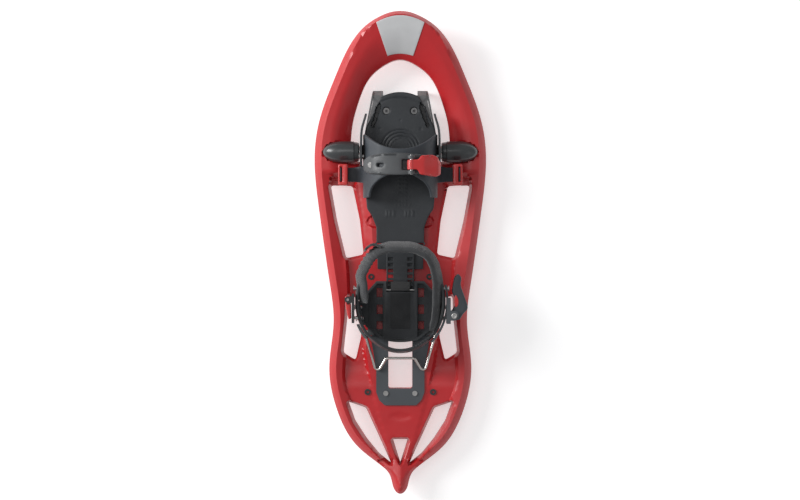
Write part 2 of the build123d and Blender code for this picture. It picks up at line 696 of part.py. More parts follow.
def ankle_strap():
    """The padded strap over the instep: a tall band inside the hoop that runs round the front."""
    outer = HOOP_A - HOOP_WALL - 0.4
    ring = ring_band(outer - STRAP, HOOP_B - HOOP_WALL - 0.4, STRAP_FRONT, outer, (60, 140))
    ring &= side_profile([(-130, 64), (20, 90), (20, 120), (-130, 94)])
    ring -= block((-80, 0), (-140, -62.0), (0, 200))
    ring -= block((-80, 80), (-140, -100.0), (0, 200))
    for bore in both(strap_bore()):
        ring -= bore
    return ring


def length_tab():
    """The sprung tab that locks the heel plate to a notch of the tongue."""
    plate = block((-12.0, 12.0), (-46.5, -35.5), (TAB_Z - 1.2, TAB_Z + 1.2))
    barrel = rod_x(1.9, (-12.0, 12.0), TAB_Y, TAB_Z)
    return plate + barrel - rod_x(TAB_PIN_R + RUNNING_GAP, (-20, 20), TAB_Y, TAB_Z)


def length_tab_pin():
    return rod_x(TAB_PIN_R, (-20.5, 20.5), TAB_Y, TAB_Z)


def riser():
    """The climbing wire: two legs, two feet and a raised crossbar."""
    side = [(36.0, RISER_Y, RISER_Z), (45.5, RISER_Y, RISER_Z), (30.0, -153.0, 36.6), (18.2, -132.5, 38.6)]
    points = [(-x, y, z) for x, y, z in side] + list(reversed(side))
    bends = [2.4, 4.0, 4.5]
    path = FilletPolyline(*points, radius=bends + bends[::-1])
    return sweep(Plane(origin=path @ 0, z_dir=path % 0) * Circle(RISER_R), path=path)


# ---------------------------------------------------------------- ankle ratchet and strap lock
def ankle_ladder():
    """The toothed band outside the hoop that the ankle ratchet grips."""
    ring = ring_band(HOOP_A + 0.3, HOOP_B + 2.6, HOOP_FRONT + 2.6, HOOP_A + 2.6, (60, 120))
    ring &= side_profile([(-110, 72), (-39, 72), (-39, 88), (-110, 88)])
    return ring - block((-80, 20), (-140, 40), (0, 200)) - strap_bore()


def ankle_buckle():
    """The ratchet's base, which slides along the ladder, with two ears for the lever's pin."""
    x, y = ANKLE_PIN
    base = block((HOOP_A + 2.9, HOOP_A + 5.5), (y - 10, y + 22), (68.0, 92.0))
    for z in ((68.0, 71.8), (88.2, 92.0)):
        base += block((HOOP_A + 0.3, HOOP_A + 3.5), (y - 10, y + 22), z)
        base += rod_z(6.0, x, y, z) + block((HOOP_A + 3.0, x), (y - 6, y + 6), z)
    return base - rod_z(ANKLE_PIN_R + RUNNING_GAP, x, y, (60, 100))


def ankle_pin():
    x, y = ANKLE_PIN
    return rod_z(ANKLE_PIN_R, x, y, (67.0, 93.0)) + rod_z(3.6, x, y, (92.1, 94.0))


def ankle_lever():
    """The long lever of the ankle ratchet."""
    x, y = ANKLE_PIN
    front = [(83.6, -68.0), (79.5, -52.7), (75.0, -38.7), (75.7, -29.8), (71.9, -25.4)]
    rear = [(66.0, -34.9), (64.5, -48.0), (69.5, -60.0)]
    plan = closed([(x - 2.6, y - 3.0), (x + 6.0, y - 5.0), *front, *rear, (x - 3.5, y + 4.0)], 0.8)
    lever = extrude(Pos(0, 0, 72.1) * plan, 15.8)
    return lever - rod_z(ANKLE_PIN_R + RUNNING_GAP, x, y, (60, 100))


def lock_body():
    """The black base of the strap lock, on the left of the hoop."""
    x, y = LOCK_PIN
    base = block((HOOP_A + 0.3, HOOP_A + 3.2), (-86.0, -50.0), (72.0, 98.0))
    for z in ((74.0, 78.0), (92.0, 96.0)):
        base += rod_z(4.0, x, y, z) + block((HOOP_A + 1.0, x), (y - 4, y + 4), z)
    base -= rod_z(LOCK_PIN_R + RUNNING_GAP, x, y, (60, 110))
    base -= lock_rivet_bore()
    base -= rod_x(3.6, (59.1, 62.0), *LOCK_RIVET)
    return mirror(base, about=Plane.YZ)


def lock_pin():
    return mirror(rod_z(LOCK_PIN_R, *LOCK_PIN, (73.5, 96.5)), about=Plane.YZ)


def lock_lever():
    """The red lever of the strap lock."""
    x, y = LOCK_PIN
    tip = [(67.6, -66.6), (64.3, -81.2), (61.0, -80.5), (61.2, -65.3)]
    plan = closed([(x - 2.8, y + 3.5), (x + 3.5, y + 3.5), *tip], 0.6)
    lever = extrude(Pos(0, 0, 78.2) * plan, 13.6)
    return mirror(lever - rod_z(LOCK_PIN_R + RUNNING_GAP, x, y, (60, 110)), about=Plane.YZ)


# ---------------------------------------------------------------- every node
def nodes():
    made = {
        "deck": deck(),
        "nose_badge": nose_badge(),
        "wear_plate": wear_plate(),
        "wear_plate_screws": wear_plate_screws(),
        "spikes": spikes(),
        "spike_plugs": spike_plugs(),
        "heel_rest_pads": heel_rest_pads(),
        "axle_rod": axle_rod(),
        "toe_plate": toe_plate(),
        "claw": claw(),
        "claw_screws": claw_screws(),
        "claw_nuts": claw_nuts(),
        "forefoot_flap": forefoot_flap(),
        "wing_rivets": wing_rivets(),
        "toe_buckle": toe_buckle(),
        "toe_buckle_rivet": toe_buckle_rivet(),
        "toe_buckle_pin": toe_buckle_pin(),
        "toe_lever": toe_lever(),
        "toe_ladder": toe_ladder(),
        "toe_ladder_rivet": toe_ladder_rivet(),
        "heel_plate": heel_plate(),
        "heel_pad": heel_pad(),
        "heel_hoop": heel_hoop(),
        "hoop_rivets": hoop_rivets(),
        "strap_rivets": strap_rivets(),
        "strap_clip": strap_clip(),
        "ankle_strap": ankle_strap(),
        "length_tab": length_tab(),
        "length_tab_pin": length_tab_pin(),
        "riser": riser(),
        "ankle_ladder": ankle_ladder(),
        "ankle_buckle": ankle_buckle(),
        "ankle_pin": ankle_pin(),
        "ankle_lever": ankle_lever(),
        "lock_body": lock_body(),
        "lock_rivet": lock_rivet(),
        "lock_pin": lock_pin(),
        "lock_lever": lock_lever(),
    }
    for side in BOTH_SIDES:
        made[f"axle_cap_{SIDE_NAME[side]}"] = axle_cap(side)
        made[f"axle_bush_{SIDE_NAME[side]}"] = axle_bush(side)
        made[f"axle_washer_{SIDE_NAME[side]}"] = axle_washer(side)
        made[f"keeper_{SIDE_NAME[side]}"] = keeper(side)
        made[f"wing_{SIDE_NAME[side]}"] = wing(side)
    return made


def as_compound(shape):
    """One node's solids, from a shape or a list of shapes."""
    shapes = shape if isinstance(shape, list) else [shape]
    solids = [solid for part in shapes for solid in part.solids()]
    return Compound(children=solids)


os.makedirs("parts", exist_ok=True)
for name, shape in nodes().items():
    export_step(as_compound(shape), f"parts/{name}.step")
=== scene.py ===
import json
from math import cos, hypot, pi, radians, sin, sqrt

import bpy
import numpy as np
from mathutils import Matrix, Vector
from mathutils.geometry import delaunay_2d_cdt


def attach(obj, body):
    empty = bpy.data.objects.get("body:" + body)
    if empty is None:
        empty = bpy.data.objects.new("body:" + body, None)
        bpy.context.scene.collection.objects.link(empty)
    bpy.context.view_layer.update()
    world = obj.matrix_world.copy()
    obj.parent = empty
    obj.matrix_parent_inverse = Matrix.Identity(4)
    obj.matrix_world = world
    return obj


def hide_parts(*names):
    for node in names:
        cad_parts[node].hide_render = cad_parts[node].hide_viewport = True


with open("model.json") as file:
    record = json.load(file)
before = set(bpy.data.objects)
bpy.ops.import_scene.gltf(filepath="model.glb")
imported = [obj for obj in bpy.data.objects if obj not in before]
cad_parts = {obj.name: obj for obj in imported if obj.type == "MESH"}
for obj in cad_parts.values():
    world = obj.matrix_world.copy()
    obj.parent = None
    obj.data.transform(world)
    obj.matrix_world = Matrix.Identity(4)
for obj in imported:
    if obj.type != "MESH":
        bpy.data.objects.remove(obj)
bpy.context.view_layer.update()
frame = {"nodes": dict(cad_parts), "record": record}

# Shapes are written in millimetres in the CAD frame: X right, Y towards the nose, Z up.
MM = 0.001
NODES = frame["nodes"]


# ---------------------------------------------------------------- materials
def tint(color, factor):
    return tuple(min(1.0, c * factor) for c in color[:3]) + (1.0,)


def material(slot, color, rough, grain, metallic=0.0, coat=0.0, coat_rough=0.1, mottle=0.12, bump=0.15,
             weave=0.0, sheen=0.0, wear=0.0, brushed=False):
    """One moulded, woven or metal finish: colour mottle, roughness variation, grain bump and edge wear."""
    mat = bpy.data.materials.new(slot)
    mat.use_nodes = True
    nodes, links = mat.node_tree.nodes, mat.node_tree.links
    shader = nodes["Principled BSDF"]
    shader.inputs["Metallic"].default_value = metallic
    shader.inputs["Coat Weight"].default_value = coat
    shader.inputs["Coat Roughness"].default_value = coat_rough
    shader.inputs["Sheen Weight"].default_value = sheen
    coords = nodes.new("ShaderNodeTexCoord")

    def noise(scale, detail=3.0, stretch=None):
        node = nodes.new("ShaderNodeTexNoise")
        node.inputs["Scale"].default_value = scale
        node.inputs["Detail"].default_value = detail
        source = coords.outputs["Object"]
        if stretch:
            mapping = nodes.new("ShaderNodeMapping")
            mapping.inputs["Scale"].default_value = stretch
            links.new(source, mapping.inputs["Vector"])
            source = mapping.outputs["Vector"]
        links.new(source, node.inputs["Vector"])
        return node.outputs["Fac"]

    def ramp(source, low, high, a, b):
        node = nodes.new("ShaderNodeMapRange")
        node.inputs["From Min"].default_value = low
        node.inputs["From Max"].default_value = high
        node.inputs["To Min"].default_value = a
        node.inputs["To Max"].default_value = b
        links.new(source, node.inputs["Value"])
        return node.outputs["Result"]

    def blend(factor, a, b):
        node = nodes.new("ShaderNodeMix")
        node.data_type = "RGBA"
        for index, value in ((6, a), (7, b)):
            if isinstance(value, tuple):
                node.inputs[index].default_value = value
            else:
                links.new(value, node.inputs[index])
        links.new(factor, node.inputs[0])
        return node.outputs[2]

    cloudy = ramp(noise(22.0, 4.0), 0.35, 0.65, 0.0, 1.0)
    base = blend(cloudy, tint(color, 1.0 - mottle), tint(color, 1.0 + mottle))
    if wear:
        geometry = nodes.new("ShaderNodeNewGeometry")
        worn = ramp(geometry.outputs["Pointiness"], 0.53, 0.62, 0.0, wear)
        base = blend(worn, base, tint([c * 0.6 + 0.25 for c in color[:3]], 1.0))
    links.new(base, shader.inputs["Base Color"])
    stretch = (1.0, 14.0, 1.0) if brushed else None
    patchy = ramp(noise(60.0, 3.0, stretch), 0.3, 0.7, rough * 0.85, min(1.0, rough * 1.2))
    links.new(patchy, shader.inputs["Roughness"])
    height = noise(grain, 2.0, stretch)
    if weave:
        checks = []
        for direction in ("Z", "DIAGONAL"):
            wave = nodes.new("ShaderNodeTexWave")
            wave.bands_direction = direction
            wave.inputs["Scale"].default_value = weave
            links.new(coords.outputs["Object"], wave.inputs["Vector"])
            checks.append(wave.outputs["Fac"])
        cloth = nodes.new("ShaderNodeMath")
        cloth.operation = "MULTIPLY"
        links.new(checks[0], cloth.inputs[0])
        links.new(checks[1], cloth.inputs[1])
        height = cloth.outputs["Value"]
    relief = nodes.new("ShaderNodeBump")
    relief.inputs["Strength"].default_value = bump
    relief.inputs["Distance"].default_value = 0.0004
    links.new(height, relief.inputs["Height"])
    links.new(relief.outputs["Normal"], shader.inputs["Normal"])
    return mat


# Every finish of the record: colour, roughness and grain scale, then what differs from plain plastic.
FINISHES = {
    "deck_red": ((0.50, 0.014, 0.018), 0.38, 900.0,
                 dict(coat=0.25, coat_rough=0.25, mottle=0.05, bump=0.08, wear=0.06)),
    "red_plastic": ((0.56, 0.028, 0.028), 0.30, 700.0, dict(coat=0.3, mottle=0.05, bump=0.06, wear=0.1)),
    "badge_silver": ((0.66, 0.665, 0.67), 0.38, 1500.0, dict(metallic=0.25, mottle=0.06, bump=0.12)),
    "slate_plastic": ((0.040, 0.047, 0.056), 0.46, 1200.0, dict(mottle=0.12, bump=0.3, wear=0.12)),
    "dark_steel": ((0.060, 0.058, 0.060), 0.38, 500.0, dict(metallic=0.75, mottle=0.12, bump=0.1, wear=0.5)),
    "steel": ((0.50, 0.49, 0.48), 0.30, 500.0, dict(metallic=1.0, mottle=0.12, bump=0.08, brushed=True)),
    "chrome_wire": ((0.74, 0.70, 0.66), 0.16, 500.0, dict(metallic=1.0, mottle=0.06, bump=0.04)),
    "black_plastic": ((0.012, 0.012, 0.013), 0.42, 1200.0, dict(mottle=0.1, bump=0.25, wear=0.1)),
    "cap_plastic": ((0.040, 0.044, 0.046), 0.30, 900.0,
                    dict(coat=0.35, coat_rough=0.16, mottle=0.08, bump=0.06, wear=0.1)),
    "plate_plastic": ((0.024, 0.027, 0.031), 0.50, 1500.0, dict(mottle=0.14, bump=0.45, wear=0.15)),
    "flap_rubber": ((0.034, 0.041, 0.050), 0.52, 1400.0, dict(mottle=0.12, bump=0.4, sheen=0.08, wear=0.08)),
    "grey_plastic": ((0.066, 0.070, 0.074), 0.40, 1100.0, dict(mottle=0.1, bump=0.25, wear=0.12)),
    "hoop_rubber": ((0.024, 0.026, 0.029), 0.50, 1400.0, dict(mottle=0.12, bump=0.35, sheen=0.05, wear=0.1)),
    "strap_foam": ((0.040, 0.042, 0.045), 0.80, 1400.0, dict(mottle=0.14, bump=0.9, weave=340.0, sheen=0.25)),
    "pad_rubber": ((0.018, 0.019, 0.021), 0.62, 1000.0, dict(mottle=0.1, bump=0.5)),
}
MATS = {slot: material(slot, color, rough, grain, **looks)
        for slot, (color, rough, grain, looks) in FINISHES.items()}
for entry in frame["record"]["subparts"]:
    mesh = NODES[entry["node"]].data
    for index in range(len(mesh.materials)):
        mesh.materials[index] = MATS[entry["material_slot"]]
    if not mesh.materials:
        mesh.materials.append(MATS[entry["material_slot"]])


# ---------------------------------------------------------------- mesh helpers
def piece(name, verts, faces, body, slot, crease=38.0, replaces=()):
    """A mesh object in metres from corners in millimetres, riding on a body."""
    mesh = bpy.data.meshes.new(name)
    mesh.from_pydata([(x * MM, y * MM, z * MM) for x, y, z in verts], [], faces)
    mesh.materials.append(MATS[slot])
    mesh.validate()
    mesh.shade_smooth()
    mesh.set_sharp_from_angle(angle=radians(crease))
    obj = bpy.data.objects.new(name, mesh)
    bpy.context.scene.collection.objects.link(obj)
    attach(obj, body)
    if replaces:
        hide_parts(*replaces)
    return obj


def join(*parts):
    """Several (verts, faces) as one."""
    verts, faces = [], []
    for part_verts, part_faces in parts:
        start = len(verts)
        verts += list(part_verts)
        faces += [tuple(index + start for index in face) for face in part_faces]
    return verts, faces


def flip(part):
    """A (verts, faces) mirrored to the other side."""
    verts, faces = part
    return [(-x, y, z) for x, y, z in verts], [tuple(reversed(face)) for face in faces]


def smooth(points, step=2.5, closed=False):
    """A Catmull-Rom curve through points, sampled about every step."""
    pts = [np.array(p, float) for p in points]
    if closed:
        pts = [pts[-1]] + pts + [pts[0], pts[1]]
    else:
        pts = [2 * pts[0] - pts[1]] + pts + [2 * pts[-1] - pts[-2]]
    out = []
    for a, b, c, d in zip(pts, pts[1:], pts[2:], pts[3:]):
        ta = max(1e-6, np.linalg.norm(b - a)) ** 0.5
        tb = max(1e-6, np.linalg.norm(c - b)) ** 0.5
        tc = max(1e-6, np.linalg.norm(d - c)) ** 0.5
        m1 = ((b - a) / ta - (c - a) / (ta + tb) + (c - b) / tb) * tb
        m2 = ((c - b) / tb - (d - b) / (tb + tc) + (d - c) / tc) * tb
        count = max(1, int(round(np.linalg.norm(c - b) / step)))
        for i in range(count):
            t = i / count
            out.append((2 * t**3 - 3 * t**2 + 1) * b + (t**3 - 2 * t**2 + t) * m1
                       + (-2 * t**3 + 3 * t**2) * c + (t**3 - t**2) * m2)
    if not closed:
        out.append(pts[-2])
    return [tuple(p) for p in out]


def flowing(points, step=3.0, closed=True):
    """A cubic spline with even curvature through points, for the deck's long edges."""
    pts = np.array(points + points[:1] if closed else points, float)
    gaps = np.linalg.norm(np.diff(pts, axis=0), axis=1)
    count = len(gaps)
    size = count if closed else count + 1
    matrix, right = np.zeros((size, size)), np.zeros((size, 2))
    slopes = np.diff(pts, axis=0) / gaps[:, None]
    for i in range(size):
        if not closed and i in (0, count):
            matrix[i, i] = 1.0
            continue
        before, after = gaps[i - 1], gaps[i % count]
        matrix[i, i] = 2 * (before + after)
        matrix[i, (i - 1) % size] += before
        matrix[i, (i + 1) % size] += after
        right[i] = 6 * (slopes[i % count] - slopes[i - 1])
    bend = np.linalg.solve(matrix, right)
    out = []
    for i, gap in enumerate(gaps):
        m0, m1 = bend[i], bend[(i + 1) % size]
        parts = max(1, int(round(gap / step)))
        for k in range(parts):
            u = gap * k / parts
            v = gap - u
            point = (m0 * v**3 + m1 * u**3) / (6 * gap)
            point = point + (pts[i] / gap - m0 * gap / 6) * v + (pts[i + 1] / gap - m1 * gap / 6) * u
            out.append(tuple(point))
    if not closed:
        out.append(tuple(pts[-1]))
    return out


def straight(points, step=3.0, closed=True):
    """The same polygon with its sides divided about every step."""
    out = []
    ends = points[1:] + points[:1] if closed else points[1:]
    for (x0, y0), (x1, y1) in zip(points, ends):
        count = max(1, int(round(hypot(x1 - x0, y1 - y0) / step)))
        out += [(x0 + (x1 - x0) * i / count, y0 + (y1 - y0) * i / count) for i in range(count)]
    if not closed:
        out.append(points[-1])
    return out


def rounded(points, radius, steps=4):
    """A polygon with each corner cut by an arc."""
    out = []
    total = len(points)
    for i, (x, y) in enumerate(points):
        ax, ay = points[i - 1]
        bx, by = points[(i + 1) % total]
        la, lb = hypot(ax - x, ay - y), hypot(bx - x, by - y)
        cut = min(radius, 0.45 * la, 0.45 * lb)
        p = (x + (ax - x) / la * cut, y + (ay - y) / la * cut)
        q = (x + (bx - x) / lb * cut, y + (by - y) / lb * cut)
        for k in range(steps + 1):
            t = k / steps
            out.append(((1 - t) ** 2 * p[0] + 2 * t * (1 - t) * x + t * t * q[0],
                        (1 - t) ** 2 * p[1] + 2 * t * (1 - t) * y + t * t * q[1]))
    return out


def circle(x, y, radius, count=24):
    angles = [2 * pi * i / count for i in range(count)]
    return [(x + radius * cos(angle), y + radius * sin(angle)) for angle in angles]


def rectangle(x, y):
    return [(x[0], y[0]), (x[1], y[0]), (x[1], y[1]), (x[0], y[1])]


def area(loop):
    return 0.5 * sum(x0 * y1 - x1 * y0 for (x0, y0), (x1, y1) in zip(loop, loop[1:] + loop[:1]))


def inset(loop, distance):
    """Each corner moved to its left by a distance."""
    out = []
    total = len(loop)
    for i, (x, y) in enumerate(loop):
        ax, ay = loop[i - 1]
        bx, by = loop[(i + 1) % total]
        la, lb = hypot(x - ax, y - ay) or 1e-9, hypot(bx - x, by - y) or 1e-9
        na = ((ay - y) / la, (x - ax) / la)
        nb = ((y - by) / lb, (bx - x) / lb)
        nx, ny = na[0] + nb[0], na[1] + nb[1]
        size = hypot(nx, ny)
        if size < 1e-6:
            nx, ny, size = na[0], na[1], 1.0
        reach = distance / max(0.5, size / 2)
        out.append((x + nx / size * reach, y + ny / size * reach))
    return out


def inside(points, loop):
    """Which of the points an (N, 2) array holds lie inside a loop."""
    x, y = points[:, 0], points[:, 1]
    hit = np.zeros(len(points), bool)
    for (x0, y0), (x1, y1) in zip(loop, loop[1:] + loop[:1]):
        if y0 == y1:
            continue
        crosses = (y0 > y) != (y1 > y)
        hit ^= crosses & (x < (x1 - x0) * (y - y0) / (y1 - y0) + x0)
    return hit


def distance(points, loop, closed=True):
    """The distance from each point of an (N, 2) array to a loop."""
    best = np.full(len(points), 1e9)
    ends = loop[1:] + loop[:1] if closed else loop[1:]
    for a, b in zip(loop, ends):
        a, b = np.array(a), np.array(b)
        side = b - a
        along = np.clip(((points - a) @ side) / max(side @ side, 1e-9), 0.0, 1.0)
        best = np.minimum(best, np.linalg.norm(points - a - along[:, None] * side, axis=1))
    return best


def fill(loops, extra=(), grid=0.0):
    """Triangles over the area between an outer loop and its holes, with points on a grid inside."""
    verts = [p for loop in loops for p in loop]
    edges, start = [], 0
    for loop in loops:
        edges += [(start + i, start + (i + 1) % len(loop)) for i in range(len(loop))]
        start += len(loop)
    for line in extra:
        edges += [(len(verts) + i, len(verts) + i + 1) for i in range(len(line) - 1)]
        verts += line
    if grid:
        outer = np.array(loops[0])
        low, high = outer.min(axis=0), outer.max(axis=0)
        rows = np.arange(low[1], high[1], grid * 0.866)
        points = np.array([(x + (grid / 2 if k % 2 else 0), y)
                           for k, y in enumerate(rows) for x in np.arange(low[0], high[0], grid)])
        keep = inside(points, loops[0])
        for loop in loops[1:]:
            keep &= ~inside(points, loop)
        points = points[keep]
        for loop in loops:
            points = points[distance(points, loop) > grid * 0.55]
        for line in extra:
            points = points[distance(points, line, closed=False) > grid * 0.5]
        verts = verts + [tuple(p) for p in points]
    found = delaunay_2d_cdt([Vector(p) for p in verts], edges, [], 0, 1e-5)
    flat = [(v.x, v.y) for v in found[0]]
    faces = [tuple(face) for face in found[2]]
    middles = np.array([np.mean([flat[i] for i in face], axis=0) for face in faces])
    keep = inside(middles, loops[0])
    for loop in loops[1:]:
        keep &= ~inside(middles, loop)
    faces = [face for face, wanted in zip(faces, keep) if wanted]
    return flat, faces


def plate(outer, z, edge=0.8, holes=(), grid=0.0, warp=None, steps=3, foot_edge=0.4):
    """A plate with rounded edges, and holes right through, optionally bent by warp(x, y, z)."""
    loops = [list(outer) if area(outer) > 0 else list(reversed(outer))]
    loops += [list(hole) if area(hole) < 0 else list(reversed(hole)) for hole in holes]
    low, high = z
    rings = []
    for k in range(steps + 1):
        turn = pi / 2 * k / steps
        rings.append((foot_edge * (1 - sin(turn)), low + foot_edge * (1 - cos(turn))))
    for k in range(steps + 1):
        turn = pi / 2 * k / steps
        rings.append((edge * (1 - cos(turn)), high - edge * (1 - sin(turn))))
    verts, faces = [], []
    for loop in loops:
        size = len(loop)
        start = len(verts)
        for offset, height in rings:
            verts += [(x, y, height) for x, y in inset(loop, offset)]
        for r in range(len(rings) - 1):
            for i in range(size):
                a, b = start + r * size + i, start + r * size + (i + 1) % size
                faces.append((a, b, b + size, a + size))
    for offset, height, up in ((rings[0][0], low, False), (rings[-1][0], high, True)):
        flat, tris = fill([inset(loop, offset) for loop in loops], grid=grid)
        index = {(round(x, 3), round(y, 3)): i
                 for i, (x, y, h) in enumerate(verts) if abs(h - height) < 1e-6}
        where = []
        for x, y in flat:
            found = index.get((round(x, 3), round(y, 3)))
            if found is None:
                found = len(verts)
                verts.append((x, y, height))
            where.append(found)
        faces += [tuple(where[i] for i in (face if up else face[::-1])) for face in tris]
    if warp:
        verts = [warp(x, y, h) for x, y, h in verts]
    return verts, faces


def loft(sections, closed=False, capped=True):
    """Faces between sections of equal length, each a ring of points."""
    size = len(sections[0])
    verts = [tuple(p) for section in sections for p in section]
    faces = []
    count = len(sections)
    for s in range(count if closed else count - 1):
        a, b = s * size, (s + 1) % count * size
        faces += [(a + i, a + (i + 1) % size, b + (i + 1) % size, b + i) for i in range(size)]
    if capped and not closed:
        faces.append(tuple(range(size - 1, -1, -1)))
        faces.append(tuple(range((count - 1) * size, count * size)))
    return verts, faces


def section(width, height, radius, steps=3):
    """A rounded rectangle about (0, 0)."""
    return rounded(rectangle((-width / 2, width / 2), (-height / 2, height / 2)), radius, steps)


def lathe(profile, start, count=48, axis="x"):
    """A profile of (station, radius) turned about an axis through start."""
    sections = []
    for station, radius in profile:
        ring = []
        for i in range(count):
            u, v = radius * cos(2 * pi * i / count), radius * sin(2 * pi * i / count)
            point = {"x": (station, u, v), "y": (v, station, u), "z": (u, v, station)}[axis]
            ring.append(tuple(p + o for p, o in zip(point, start)))
        sections.append(ring)
    return loft(sections)


def grid_solid(inner, outer):
    """A closed shell between two equal grids of points, the second lying on the outside."""
    rows, cols = len(inner), len(inner[0])
    verts = [tuple(p) for row in inner for p in row] + [tuple(p) for row in outer for p in row]
    lift = rows * cols
    faces = []
    for r in range(rows - 1):
        for c in range(cols - 1):
            a, b, d, e = r * cols + c, r * cols + c + 1, (r + 1) * cols + c + 1, (r + 1) * cols + c
            faces.append((a, e, d, b))
            faces.append((a + lift, b + lift, d + lift, e + lift))
    rim = [c for c in range(cols)] + [r * cols + cols - 1 for r in range(1, rows)]
    rim += [(rows - 1) * cols + c for c in range(cols - 2, -1, -1)]
    rim += [r * cols for r in range(rows - 2, 0, -1)]
    for a, b in zip(rim, rim[1:] + rim[:1]):
        faces.append((a, b, b + lift, a + lift))
    return verts, faces


def wrapped(path, axes):
    """A function from (distance along a path, across it, out of it) to a point, for a path in two axes."""
    pts = [np.array(p, float) for p in path]
    steps = [np.linalg.norm(b - a) for a, b in zip(pts, pts[1:])]
    reach = np.concatenate(([0.0], np.cumsum(steps)))
    ways = [(b - a) / step for a, b, step in zip(pts, pts[1:], steps)]
    at_points = [ways[0]] + [(a + b) / np.linalg.norm(a + b) for a, b in zip(ways, ways[1:])] + [ways[-1]]

    def place(s, t, h):
        k = int(np.clip(np.searchsorted(reach, s) - 1, 0, len(ways) - 1))
        along = (s - reach[k]) / steps[k]
        point = pts[k] + ways[k] * (s - reach[k])
        way = at_points[k] * (1 - min(1, max(0, along))) + at_points[k + 1] * min(1, max(0, along))
        way = way / np.linalg.norm(way)
        if axes == "xz":
            u, v = point + np.array((-way[1], way[0])) * h
            return u, t, v
        u, v = point + np.array((way[1], -way[0])) * h
        return u, v, t

    return place, reach[-1]


# ---------------------------------------------------------------- deck
# The deck's outline, windows and lines, on its right half only.
OUTLINE = [(0, 305), (12, 303.6), (25, 298.8), (41.6, 288.9), (82.4, 224.3), (105.1, 159.5), (108.9, 129.3),
           (103.7, 58.1), (89.7, -38.5), (84.9, -86.9), (90.4, -146.6), (81.7, -195.1), (55.8, -243.7),
           (24.0, -269.6), (14.2, -279.5), (10.2, -291.5), (6.5, -301.0), (0, -304.9)]
TOE_ARCH = [(0, 245.6), (22.0, 237.5), (37.6, 224.3), (53.4, 191.9), (61.2, 162.0), (63.0, 143.0)]
TOE_FOOT = [(63.0, 143.0), (63.0, 117.0), (50.0, 117.0), (50.0, 103.0), (0, 103.0)]
FRONT_WINDOW = [(60.8, 86.0), (88.7, 86.8), (80.8, 42.4), (69.0, -6.1), (46.8, -1.2), (51.6, 42.4)]
REAR_WINDOW = [(50.0, -58.0), (66.6, -54.0), (67.7, -83.7), (72.5, -126.6), (57.0, -136.0), (49.9, -105.5)]
TAIL_CURVE = [(65.9, -189.0), (57.4, -212.9), (42.8, -235.5), (27.1, -254.6), (11.5, -267.0)]
TAIL_CORNER = (43.7, -196.6)
RAIL_INNER = [(85.5, 112.0), (83.5, 103.0), (77.5, 42.4), (66.5, -6.1), (63.5, -60.0), (64.0, -83.7),
              (69.0, -130.0), (69.0, -165.0), (61.0, -189.0), (52.0, -212.0), (37.0, -234.0),
              (21.0, -251.0), (6.0, -263.0)]
SPINE_TOP = [(46, 103), (42, 75), (37, 42), (34.5, 5), (44, -15), (47, -25), (47, -60), (46, -90),
             (43, -105), (44, -120), (41, -140), (36, -165), (30.7, -190), (17.7, -234), (0, -284)]
DECK_FOOT = 13.0
RAIL_TOP = 36.0
SPINE_Z = 31.0
PANEL_Z = 24.0
HALF_WIDTH = 109.1
RIM = (3.2, 4.1)  # lines that the triangles follow on both sides of the underside's rim
RIM_WIDTH = 3.7
SKIN = 3.0


def mirrored(half):
    """A closed counterclockwise loop from its right half, listed from front to back."""
    left = [(-x, y) for x, y in half if x > 1e-6]
    return list(reversed(half)) + left


outline = [(max(-HALF_WIDTH, min(HALF_WIDTH, x)), y) for x, y in flowing(mirrored(OUTLINE))]
toe_arch = flowing(list(reversed(TOE_ARCH)) + [(-x, y) for x, y in TOE_ARCH[1:]], closed=False)
toe_foot = straight(TOE_FOOT, 3.0, closed=False)
toe_hole = toe_arch[:-1] + [(-x, y) for x, y in toe_foot] + toe_foot[1:-1][::-1]
right_holes = [
    straight(rounded(FRONT_WINDOW, 4.0), 3.0),
    straight(rounded(REAR_WINDOW, 4.0), 3.0),
    straight(rounded(TAIL_CURVE + [TAIL_CORNER], 2.5), 3.0),
]
center_holes = [
    toe_hole,
    straight(rounded(rectangle((-15.2, 15.2), (-171.3, -66.0)), 3.0), 3.0),
    straight(rounded([(-9.3, -236.7), (0, -266.2), (9.3, -236.7)], 1.5), 2.5),
]
holes = center_holes + right_holes + [[(-x, y) for x, y in hole] for hole in right_holes]
outline = outline if area(outline) > 0 else outline[::-1]
holes = [hole if area(hole) < 0 else hole[::-1] for hole in holes]
rail_inner = smooth(RAIL_INNER, 3.0)
spine_line = smooth(SPINE_TOP[:3], 3.0)[:-1] + straight(SPINE_TOP[2:], 3.0, closed=False)
rail_loop = rail_inner + [(-x, y) for x, y in reversed(rail_inner)]
spine_loop = spine_line + [(-x, y) for x, y in reversed(spine_line) if x > 1e-6]


def rocker(y):
    """How far the deck is lifted at a station."""
    rise = np.zeros_like(y)
    for start, radius, beyond in ((120.0, 585.4, y - 120.0), (-210.0, 568.1, -210.0 - y)):
        beyond = np.clip(beyond, 0, None)
        rise = rise + radius - np.sqrt(radius**2 - beyond**2)
    return rise


def ease(value, low, high):
    t = np.clip((value - low) / (high - low), 0, 1)
    return t * t * (3 - 2 * t)


